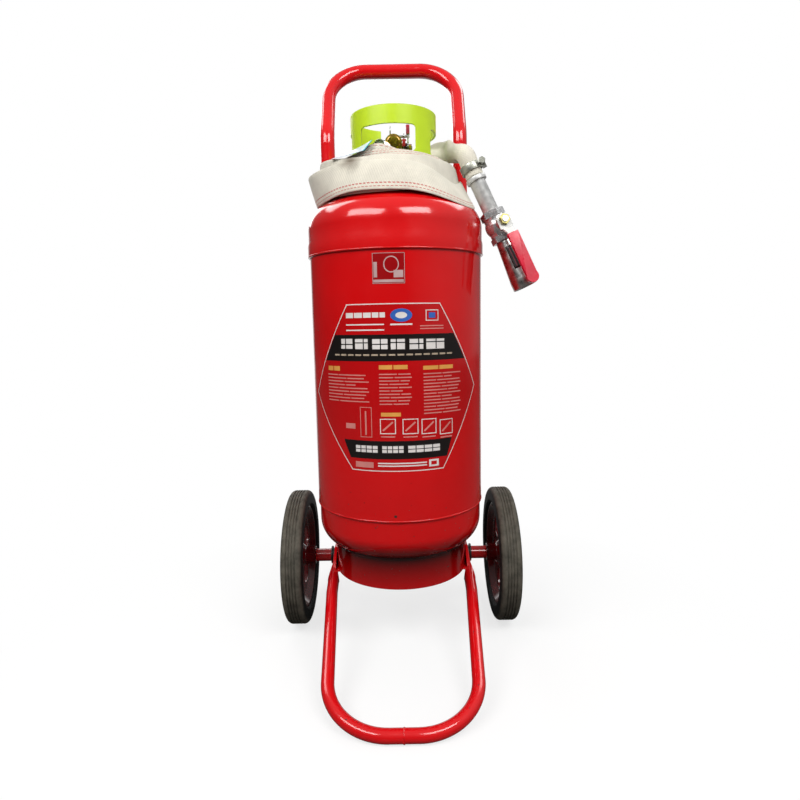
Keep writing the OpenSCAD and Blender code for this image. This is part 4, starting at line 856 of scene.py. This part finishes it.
class EXT_OT_label(bpy.types.Operator):
    """Lays the printed label and the small sticker on the barrel"""
    bl_idname = "extinguisher.label"
    bl_label = "Label"

    # The print is drawn in millimetres, x along the barrel's curve from its middle in front
    # and z up from the ground. Each layer lies this far off the barrel.
    ground, film, line, top = 0.12, 0.2, 0.26, 0.32
    # The materials, in the order in which the label takes them
    inks = ("red", "white", "black", "amber", "pale", "blue", "buff")

    # The outline is a hexagon with its waist in the middle, and sits a little to the left
    hexagon = ((-67.5, 502.5), (57.8, 502.5), (126, 392), (61, 286), (-65, 286), (-140, 385))
    # Two plain dark bands with blocks on them, which dark lines cut up
    bands = (((-89.5, 464), (-110.5, 430), (100.5, 430), (79.6, 464)),
             ((-78, 326), (-67.5, 302), (67, 302), (75, 326)))
    upper_blocks = ((-78, -60), (-56, -38), (-32, -12), (-8, 10), (16, 34), (38, 64))
    lower_blocks = ((-59, -28), (-22, 6), (12, 56))
    # Three columns: the head's x0, x1, z0, z1, then the rules' x, width, top z and number
    columns = (((-105, -82, 415.5, 424.5), (-106, 68, 411, 9)),
               ((-24, 13, 418, 426.5), (-24, 42, 412.5, 10)),
               ((33.5, 78, 416.5, 424.5), (33.8, 58, 412, 13)))
    squares = ((-23.6, 336), (5.8, 335.5), (30.8, 334.5), (56.6, 332))
    # Plain bars and blocks: x0, z0, x1, z1, layer and ink
    bars = ((-22.5, 358.5, 3.4, 363.5, film, "amber"), (-74, 341, -59, 348, film, "pale"),
            # at the head
            (-69, 485.5, -14.6, 492, film, "white"), (-58, 485, -56.6, 492.5, line, "red"),
            (-45, 485, -43.6, 492.5, line, "red"), (-33, 485, -31.6, 492.5, line, "red"),
            (-23, 485, -21.6, 492.5, line, "red"), (-69, 476, -16, 477.6, line, "white"),
            (-69, 469, -16, 470.6, line, "white"), (-8, 475.5, 20, 477.5, line, "white"),
            (42, 484, 51, 491, film, "blue"), (30, 470, 63, 471.3, line, "pale"),
            (30, 473.5, 63, 474.8, line, "pale"),
            # at the foot
            (-59.8, 290, -34, 297.5, film, "pale"), (-28, 292, 37, 293.7, line, "white"),
            (-28, 295.5, 37, 297.2, line, "white"), (40, 290, 54, 299.5, film, "white"),
            (43, 292.4, 51, 297.2, line, "red"))
    # The sticker's bars, its ring's middle, half width and half height
    sticker_bars = ((-28.5, 529.2, 10, 532.6), (-28, 535.5, -23.5, 554.5), (-2.5, 535, 9.5, 544))
    sticker_ring = (-5.6, 551.3, 9.2, 9.6)

    def panel(self, outline, layer, ink):
        """A flat outline laid on the barrel, cut into 6 mm strips that follow its curve."""
        bm = self.bm
        material_index = self.inks.index(ink)
        face = bm.faces.new([bm.verts.new((x * MM, 0, z * MM)) for x, z in outline])
        made = {face}
        xs = [x * MM for x, _ in outline]
        left, width = min(xs), max(xs) - min(xs)
        cuts = int(width / (6 * MM))
        for i in range(1, cuts + 1):
            made = {f for f in made if f.is_valid}
            edges = {e for f in made for e in f.edges}
            verts = {v for f in made for v in f.verts}
            cut = bmesh.ops.bisect_plane(bm, geom=[*made, *edges, *verts], dist=1e-7,
                                         plane_co=(left + i * width / (cuts + 1), 0, 0),
                                         plane_no=(1, 0, 0))
            made |= {g for g in cut["geom"] if isinstance(g, bmesh.types.BMFace)}
        made = {f for f in made if f.is_valid}
        radius = (BARREL_R + layer) * MM
        for vert in {v for f in made for v in f.verts}:
            angle = vert.co.x / (BARREL_R * MM)
            vert.co = Vector((radius * math.sin(angle), TANK_Y * MM - radius * math.cos(angle),
                              vert.co.z))
        for face in made:
            face.material_index = material_index

    def strip(self, a, b, width, layer, ink):
        """A straight line of the print from a to b, with square ends past both."""
        a, b = Vector(a), Vector(b)
        along = (b - a).normalized() * width / 2
        off = Vector((-along.y, along.x))
        self.panel([a - along - off, b + along - off, b + along + off, a - along + off],
                   layer, ink)

    def loop(self, corners, width, layer, ink):
        for i, corner in enumerate(corners):
            self.strip(corner, corners[(i + 1) % len(corners)], width, layer, ink)

    def rectangle(self, x0, z0, x1, z1):
        return (x0, z0), (x1, z0), (x1, z1), (x0, z1)

    def box(self, x0, z0, x1, z1, layer, ink):
        self.panel(self.rectangle(x0, z0, x1, z1), layer, ink)

    def oval(self, x, z, half_x, half_z):
        sides = 24
        turns = [2 * math.pi * k / sides for k in range(sides)]
        return [(x + half_x * math.cos(a), z + half_z * math.sin(a)) for a in turns]

    def finish(self, name, materials):
        """Turns every face of the print away from the tank's axis, and makes the piece."""
        bm = self.bm
        bmesh.ops.recalc_face_normals(bm, faces=bm.faces)
        axis = Vector((0, TANK_Y * MM, 0))
        for face in bm.faces:
            face.normal_update()
            away = face.calc_center_median() - axis
            away.z = 0
            if face.normal.dot(away) < 0:
                face.normal_flip()
        finish_piece(name, bm, materials)

    def draw_bands(self):
        for band in self.bands:
            self.panel(band, self.film, "black")
        for i, (x0, x1) in enumerate(self.upper_blocks):
            self.box(x0, 446 - 0.3 * i, x1, 459 - 0.3 * i, self.line, "white")
            z = 451 + 2 * (i % 2)
            self.box(x0, z, x1, z + 1.4, self.top, "black")
            cut = lerp(x0, x1, (0.36, 0.62, 0.5)[i % 3])
            self.box(cut, 445, cut + 1.5, 460, self.top, "black")
        for x in (11.3 * i - 90 for i in range(15)):
            self.box(x, 437, x + 8.5, 439.2, self.line, "buff")
        for x0, x1 in self.lower_blocks:
            self.box(x0, 310.5, x1, 319.5, self.line, "white")
            self.box(x0, 314.4, x1, 315.4, self.top, "black")
            for cut in (lerp(x0, x1, share) for share in (0.22, 0.47, 0.74)):
                self.box(cut, 310, cut + 1.3, 320, self.top, "black")

    def draw_columns(self):
        """Columns of plain broken rules under amber heads."""
        for i, ((x0, x1, z0, z1), (x, width, z_top, rows)) in enumerate(self.columns):
            self.box(x0, z0 + 1.5, x1, z1 - 1.5, self.film, "amber")
            middle = (x0 + x1) / 2
            self.box(middle - 1, z0 + 1.2, middle + 0.4, z1 - 1.2, self.line, "red")
            for row in range(rows):
                reach = width * (0.94, 1.0, 0.97, 0.72, 1.0, 0.9)[(row * 5 + i * 2) % 6]
                gap = reach * (0.31, 0.57, 0.44, 0.66)[(row + i) % 4]
                z = z_top - 4.3 * row
                self.box(x, z, x + gap, z + 1.5, self.line, "pale")
                self.box(x + gap + 1.6, z, x + reach, z + 1.5, self.line, "pale")

    def draw_frames(self):
        """Four plain frames, an outline beside them, and a frame and an oval at the head."""
        for x, z in self.squares:
            self.loop(self.rectangle(x, z, x + 19.6, z + 19), 1.1, self.film, "white")
            self.strip((x + 4, z + 4.5), (x + 15.5, z + 14.5), 2.2, self.line, "pale")
            self.box(x + 0.5, z - 5, x + 19, z - 3.4, self.line, "pale")
        self.loop(self.rectangle(-51, 331, -35.5, 370), 0.9, self.film, "pale")
        self.strip((-43.5, 335), (-43.5, 364), 2.2, self.line, "pale")
        self.loop(self.rectangle(38.3, 481, 55, 494), 1.0, self.film, "white")
        self.panel(self.oval(6, 488, 14, 8.4), self.film, "blue")
        self.panel(self.oval(6, 488, 7.5, 4), self.line, "white")

    def execute(self, context):
        self.bm = bmesh.new()
        self.panel(self.hexagon[::-1], self.ground, "red")
        self.loop(self.hexagon, 1.2, self.film, "white")
        self.draw_bands()
        self.draw_columns()
        self.draw_frames()
        for bar in self.bars:
            self.box(*bar)
        self.finish("label", [gloss_enamel("printed_film", colours().label, 0.0),
                              plain_finish("white_ink", "E4DEDA", 0.35, 20, 0.1),
                              plain_finish("black_ink", "16100F", 0.3, 20, 0.2),
                              plain_finish("amber_ink", "E0A04A", 0.35, 20, 0.1),
                              plain_finish("pale_ink", "D2847D", 0.35, 20, 0.15),
                              plain_finish("blue_ink", "2F63B8", 0.35, 20, 0.15),
                              plain_finish("buff_ink", "B7A58E", 0.35, 20, 0.2)])

        self.bm = bmesh.new()
        self.box(-29.8, 527.3, 11.8, 565.8, 0.14, "red")
        self.loop(self.rectangle(-29.2, 527.9, 11.2, 565.2), 0.6, self.film, "white")
        for bar in self.sticker_bars:
            self.box(*bar, self.film, "white")
        self.loop(self.oval(*self.sticker_ring), 1.3, self.line, "white")
        self.finish("sticker", [gloss_enamel("sticker_film", linear("98090F"), 0.0),
                                plain_finish("silver_ink", "BE9F9E", 0.3, 10, 0.12)])
        return {"FINISHED"}


class EXT_OT_tubes(bpy.types.Operator):
    """Finishes the handle, the foot loop, their lugs and welds"""
    bl_idname = "extinguisher.tubes"
    bl_label = "Handle and foot"

    def foot_weld(self):
        """The ground butt weld between the foot bar's two halves, where enamel has chipped."""
        bead_r, sunk, unevenness, wander = 0.0014, 0.0008, 0.0004, 0.0011
        tube_r = FOOT_TUBE_R * MM
        bm = bead_ring(bead_r, (0, 0, tube_r - sunk), (1, 0, 0), 72)
        for vert in bm.verts:
            around = Vector((0, vert.co.y, vert.co.z)).normalized()
            vert.co += around * unevenness * noise.noise(vert.co * 400)
            vert.co.x += wander * noise.noise(around * 2.5)
        _, front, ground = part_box("foot_loop")[0]
        bmesh.ops.translate(bm, verts=bm.verts, vec=(0, front + tube_r, ground + tube_r))
        # It is ground flush underneath and in front
        for vert in bm.verts:
            vert.co.y, vert.co.z = max(vert.co.y, front), max(vert.co.z, ground)
        enamel = gloss_enamel("foot_weld_enamel", colours().tubes, 0.1, 1.6)
        finish_piece("foot_weld", bm, [enamel])

    def execute(self, context):
        enamel = gloss_enamel("tube_enamel", colours().tubes, 0.12)
        finish_all(["handle_loop", "foot_loop"], enamel, "frame_paint", *TUBE_EDGE)
        finish_all(["axle_lugs", "spacer_sleeves", "handle_welds"], enamel, "frame_paint",
                   sizes().edge_radius)
        self.foot_weld()
        return {"FINISHED"}


class EXT_OT_wheels(bpy.types.Operator):
    """Finishes the wheels, the axle, its washers and split pins"""
    bl_idname = "extinguisher.wheels"
    bl_label = "Wheels"

    def execute(self, context):
        edge = sizes().edge_radius
        rim = gloss_enamel("rim_enamel", colours().rims, 0.2)
        nylon = plain_finish("bush_nylon", "D8D6CB", 0.45)
        zinc = plated_steel("zinc_plated_axle", "565858", 0.55)
        finish_all(["left_tyre", "right_tyre"], solid_tyre_rubber(), "tyre_rubber", *TYRE_EDGE)
        finish_all(["left_rim", "right_rim"], rim, "rim_paint", *PRESSED_EDGE)
        finish_all(["left_bush", "right_bush"], nylon, "bush_plastic", edge)
        finish_all(["axle", "axle_washers", "split_pins"], zinc, "zinc_steel", edge)
        return {"FINISHED"}


class EXT_OT_guard(bpy.types.Operator):
    """Finishes the plastic guard round the head valve"""
    bl_idname = "extinguisher.guard"
    bl_label = "Valve guard"

    def execute(self, context):
        finished_node("valve_guard", moulded_guard_plastic(), "guard_plastic", *GUARD_EDGE)
        return {"FINISHED"}


class EXT_OT_head_valve(bpy.types.Operator):
    """Finishes the head valve, its lever, safety pin and seals"""
    bl_idname = "extinguisher.head_valve"
    bl_label = "Head valve"

    def execute(self, context):
        edge = sizes().edge_radius
        chrome = plated_steel("chromed_steel", "C9CCCE", 0.16)
        zinc = plated_steel("zinc_plated_wire", "BEC0BE", 0.28)
        finish_all(["head_valve_body", "head_lever_nut", "outlet_barb"], forged_brass(),
                   "brass", edge)
        finish_all(["head_ball", "head_stem", "head_lever"], chrome, "chrome_plate", edge * 0.7)
        finish_all(["pin_bracket", "safety_pin", "pull_ring"], zinc, "zinc_steel", edge * 0.5)
        # Node, slot, radius of its edges, and what its finish is made with
        plain = (
            ("head_lever_grip", "grip_vinyl", edge, ("aged_vinyl", "96142A", 0.32, 6, 0.3)),
            ("head_gland", "gland_dark", edge, ("blackened_steel", "1E1D1C", 0.4, 10, 0.12, 0.6)),
            ("tamper_seal", "seal_plastic", SMALL_RADIUS, ("seal_polyethylene", "B01420", 0.35)),
            ("head_seats", "seat_plastic", SMALL_RADIUS, ("seat_fluoropolymer", "ECEAE2", 0.4)),
            ("dip_tube", "dip_plastic", None, ("dip_tube_plastic", "D9D7CC", 0.45)),
            ("neck_seal", "seal_rubber", None, ("nitrile_ring", "121212", 0.6)))
        for node, slot, radius, finish in plain:
            finished_node(node, plain_finish(*finish), slot, radius)
        return {"FINISHED"}


class EXT_OT_gauge(bpy.types.Operator):
    """Finishes the pressure gauge and its dial"""
    bl_idname = "extinguisher.gauge"
    bl_label = "Pressure gauge"

    def execute(self, context):
        chrome = plated_steel("chromed_case", "C9CCCE", 0.16)
        finished_node("gauge_case", chrome, "chrome_plate", sizes().edge_radius)
        finished_node("gauge_dial", plain_finish("dial_enamel", "F0EFEA", 0.5), "dial_paint")
        finished_node("gauge_needle", plain_finish("needle_enamel", "141414", 0.5), "needle_paint")
        finished_node("gauge_lens", clear_lens(), "lens", SMALL_RADIUS)
        return {"FINISHED"}


class EXT_OT_nozzle(bpy.types.Operator):
    """Finishes the nozzle: pipe, ball valve, lever and barrel"""
    bl_idname = "extinguisher.nozzle"
    bl_label = "Nozzle"

    def execute(self, context):
        edge = sizes().edge_radius
        zinc = plated_steel("zinc_plated_pipe", "CFCFCD", 0.46, metallic=0.5)
        chrome = plated_steel("chromed_brass", "DCDCDC", 0.24, metallic=0.8)
        nickel = plated_steel("satin_nickel_barrel", "CFCDCA", 0.3)
        white = plain_finish("white_powder_coat", "E6E6E2", 0.35)
        yellow = plated_steel("yellow_passivated_nut", "A39A62", 0.36)
        dress(["nozzle_pipe"], zinc, edge)
        dress(["nozzle_valve_body", "nozzle_end_cap", "nozzle_ball", "nozzle_stem"], chrome, edge)
        dress(["nozzle_barrel"], nickel, edge)
        dress(["nozzle_lever"], white, edge)
        dress(["nozzle_lever_grip"], dipped_vinyl(), edge * 2)
        dress(["nozzle_gland", "nozzle_lever_nut"], yellow, edge)
        dress(["nozzle_seats"], plain_finish("valve_seat_plastic", "ECEAE2", 0.4))
        return {"FINISHED"}


class EXT_OT_foil(bpy.types.Operator):
    """Lays the plain dark foil on the nozzle's barrel"""
    bl_idname = "extinguisher.foil"
    bl_label = "Nozzle foil"

    # Where it begins and ends along the nozzle and round it, in millimetres and degrees, and
    # the barrel's radius at both ends
    length = (126.0, 159.1)
    reach = (-48, 22)
    radius = (12.72, 15.57)
    clear = 0.15
    columns, rows = 10, 12
    # Columns that are printed as a plain line
    lines = (2, 4, 7)

    def execute(self, context):
        side = NOZZLE_DIR.cross(Vector((0, -1, 0))).normalized()
        front = side.cross(NOZZLE_DIR).normalized()
        if front.y > 0:
            front = -front
        bm = bmesh.new()
        bmesh.ops.create_grid(bm, x_segments=self.columns, y_segments=self.rows, size=0.5)
        for face in bm.faces:
            middle = face.calc_center_median()
            column, row = int((middle.x + 0.5) * self.columns), int((middle.y + 0.5) * self.rows)
            face.material_index = int(column in self.lines and 1 <= row <= self.rows - 2)
        for vert in bm.verts:
            x, y = vert.co.x + 0.5, vert.co.y + 0.5
            a = math.radians(lerp(*self.reach, x))
            out = front * math.cos(a) + side * math.sin(a)
            vert.co = (NOZZLE_TOP + NOZZLE_DIR * lerp(*self.length, y)
                       + out * (lerp(*self.radius, y) + self.clear)) * MM
        bmesh.ops.recalc_face_normals(bm, faces=bm.faces)
        foil = [plain_finish("dark_foil", "1B1013", 0.4, 4, 0.3),
                plain_finish("foil_print", "6E3A42", 0.4, 4, 0.2)]
        thicken(finish_piece("nozzle_foil", bm, foil), 0.0001)
        return {"FINISHED"}


class EXT_OT_card(bpy.types.Operator):
    """Lays the inspection card on the wound hose, its left end bent up over the outer turn"""
    bl_idname = "extinguisher.card"
    bl_label = "Inspection card"

    # The card's own x from and to and its height, then where its lower edge lies: degrees
    # round the tank from the front, distance from its axis and height, and its two slopes
    left, width, height = -42, 51, 32
    round_tank, from_axis, above_ground = -27.6, 92, 690.2
    slope_along, slope_back = -7, 32.8
    # How far the four corners bend up: lower and upper left, lower and upper right
    bends = ((8.5, 2.5), (6.5, 9.0))
    sag = 0.8
    printed_from = 0.95

    def execute(self, context):
        place = (Matrix.Translation((0, TANK_Y * MM, 0))
                 @ Matrix.Rotation(math.radians(self.round_tank), 4, "Z")
                 @ Matrix.Translation((0, -self.from_axis * MM, self.above_ground * MM))
                 @ Matrix.Rotation(math.radians(self.slope_along), 4, "Y")
                 @ Matrix.Rotation(math.radians(self.slope_back), 4, "X"))
        bm = bmesh.new()
        bmesh.ops.create_grid(bm, x_segments=24, y_segments=10, size=0.5)
        for face in bm.faces:
            face.material_index = int(face.calc_center_median().x + 0.5 > self.printed_from)
        for vert in bm.verts:
            x, y = vert.co.x + 0.5, vert.co.y + 0.5
            bend = lerp(lerp(*self.bends[0], y), lerp(*self.bends[1], y), x)
            rise = 0.5 + bend - self.sag * math.sin(math.pi * x)
            vert.co = place @ (Vector((self.left + self.width * x, self.height * y, rise)) * MM)
        bmesh.ops.recalc_face_normals(bm, faces=bm.faces)
        faces = [plain_finish("laminated_card", "CFDFE9", 0.3),
                 plain_finish("card_print", "1FA3B8", 0.35)]
        thicken(finish_piece("bent_card", bm, faces, ["inspection_card"]), 0.0005)
        return {"FINISHED"}


class EXT_OT_stage(bpy.types.Operator):
    """Sets the floor, the backdrop and the lamps"""
    bl_idname = "extinguisher.stage"
    bl_label = "Stage"

    # Name, place, what it points at, its sides in metres and its power in watts: two wide
    # windows above the viewer, to the left and the right, and a lamp behind
    lamps = (("left_window", (-1.13, -1.28, 1.85), (0, 0, 0.55), (1.6, 0.75), 32),
             ("right_window", (0.76, -1.3, 1.8), (0, 0, 0.55), (1.15, 0.7), 24),
             ("rear_lamp", (-0.6, 1.9, 1.5), (0, 0, 0.6), (1.4, 1.0), 13))

    def lamp(self, context, name, place, target, size, power):
        data = bpy.data.lights.new(name, "AREA")
        data.shape = "RECTANGLE"
        data.size, data.size_y = size
        data.energy = power
        lamp = bpy.data.objects.new(name, data)
        context.scene.collection.objects.link(lamp)
        lamp.location = place
        lamp.rotation_mode = "QUATERNION"
        lamp.rotation_quaternion = (Vector(target) - Vector(place)).to_track_quat("-Z", "Y")

    def paper(self):
        """Matte paper: white to the eye, and farther off as white as the backdrop behind it.
        What it throws back on to the object is grey, as from a floor in an open room."""
        made, bsdf, node = shader("studio_floor", Roughness=0.8, Specular_IOR_Level=0.1)
        place = node("TexCoord", out="Object")
        rays = node("LightPath").node.outputs
        seen = rays["Is Camera Ray"]
        mirrored = node("Math", (rays["Is Glossy Ray"], rays["Is Transmission Ray"]),
                        operation="MAXIMUM")
        grey, white = rgba(linear("5C5A58")), rgba(linear("FBFBFA"))
        feed(bsdf, "Base Color", node("Mix", {0: seen, 6: grey, 7: white}, **COLOUR_MIX))
        away = node("VectorMath", [place], out="Value", operation="LENGTH")
        heading_out = node("VectorMath", [place], operation="NORMALIZE")
        behind = node("SeparateXYZ", [heading_out], out="Y")
        near_white = node("MapRange", (away, 0.22, 0.6, 0.72, 1.0))
        near_white = node("Math", (near_white, seen), operation="MULTIPLY")
        far = node("MapRange", (away, 0.6, 0.9))
        far_behind = node("Math", (node("MapRange", (behind, 0.86, 0.96)), far),
                          operation="MULTIPLY")
        back_white = node("Math", (far_behind, mirrored), operation="MULTIPLY")
        glow = node("Emission", {"Color": (1, 1, 1, 1), "Strength": 1.0})
        share = node("Math", (near_white, back_white), operation="MAXIMUM", use_clamp=True)
        both = node("MixShader", (share, bsdf.outputs[0], glow))
        feed(made.node_tree.nodes["Material Output"], "Surface", both)
        return made

    def floor(self, context):
        bm = bmesh.new()
        bmesh.ops.create_grid(bm, x_segments=4, y_segments=4, size=6)
        bmesh.ops.translate(bm, verts=bm.verts, vec=(0, 0, -0.0005))
        mesh = bpy.data.meshes.new("floor")
        bm.to_mesh(mesh)
        bm.free()
        mesh.materials.append(self.paper())
        floor = bpy.data.objects.new("floor", mesh)
        context.scene.collection.objects.link(floor)

    def room(self, context):
        """The room is dim in front and at the sides; the backdrop is white to the eye and in
        gloss and glass."""
        world = bpy.data.worlds.new("studio")
        context.scene.world = world
        world.use_nodes = True
        node = partial(add, world.node_tree)
        direction = node("TexCoord", out="Generated")
        x, y, z = node("SeparateXYZ", [direction]).node.outputs
        # The right side of the room is a little brighter
        light = world.node_tree.nodes["Background"]
        light.inputs["Color"].default_value = (1, 1, 1, 1)
        feed(light, "Strength", node("MapRange", (x, 0.2, 0.9, 0.26, 0.72)))
        side = node("MapRange", (x, 0.2, 0.8, 0.0, 0.2))
        above = node("MapRange", (z, 0.1, 0.9, 0.04, 0.42))
        above = node("Math", (above, side), operation="ADD")
        # Two strips of ceiling light behind, which draw thin streaks along the tubes
        sideways = node("Math", [x], operation="ABSOLUTE")
        strips = node("Math", (node("MapRange", (z, 0.55, 0.6, 0.0, 4.5)),
                               node("MapRange", (y, 0.2, 0.3))), operation="MULTIPLY")
        strips = node("Math", (strips, node("MapRange", (sideways, 0.36, 0.42))),
                      operation="MULTIPLY")
        above = node("Math", (above, strips), operation="ADD")
        backdrop = node("MapRange", (y, 0.88, 0.97))
        level = node("Math", (backdrop, above), operation="MAXIMUM")
        mirrored = node("Background", {"Color": (1, 1, 1, 1), "Strength": level})
        seen = node("Background", {"Color": (1, 1, 1, 1), "Strength": 1.0})
        rays = node("LightPath").node.outputs
        direct = node("Math", (rays["Is Camera Ray"], rays["Is Transmission Ray"]),
                      operation="MAXIMUM")
        both = node("MixShader", (rays["Is Glossy Ray"], light.outputs[0], mirrored))
        both = node("MixShader", (direct, both, seen))
        feed(world.node_tree.nodes["World Output"], "Surface", both)

    def execute(self, context):
        self.floor(context)
        self.room(context)
        for lamp in self.lamps:
            self.lamp(context, *lamp)
        context.scene.view_settings.view_transform = "Standard"
        return {"FINISHED"}


class EXT_PT_panel(bpy.types.Panel):
    """Lists the extinguisher's operators, colours and sizes"""
    bl_idname = "EXT_PT_panel"
    bl_label = "Wheeled Fire Extinguisher"
    bl_space_type = "VIEW_3D"
    bl_region_type = "UI"
    bl_category = "Extinguisher"

    def draw(self, context):
        for operator in OPERATORS:
            self.layout.operator(operator.bl_idname)
        for group in (colours(), sizes()):
            for name in group.__annotations__:
                self.layout.prop(group, name)


# The nozzle and its foil come before the hose
OPERATORS = (EXT_OT_camera, EXT_OT_nozzle, EXT_OT_foil, EXT_OT_clamps, EXT_OT_hose,
             EXT_OT_tank, EXT_OT_label, EXT_OT_tubes, EXT_OT_wheels, EXT_OT_guard,
             EXT_OT_head_valve, EXT_OT_gauge, EXT_OT_card, EXT_OT_stage)
CLASSES = (ExtinguisherColours, ExtinguisherSizes, *OPERATORS, EXT_PT_panel)


def register():
    for cls in CLASSES:
        bpy.utils.register_class(cls)
    bpy.types.Scene.extinguisher_colours = bpy.props.PointerProperty(type=ExtinguisherColours)
    bpy.types.Scene.extinguisher_sizes = bpy.props.PointerProperty(type=ExtinguisherSizes)


def unregister():
    del bpy.types.Scene.extinguisher_sizes
    del bpy.types.Scene.extinguisher_colours
    for cls in reversed(CLASSES):
        bpy.utils.unregister_class(cls)


def main():
    register()
    for operator in OPERATORS:
        group, name = operator.bl_idname.split(".")
        getattr(getattr(bpy.ops, group), name)()


if __name__ == "__main__":
    main()
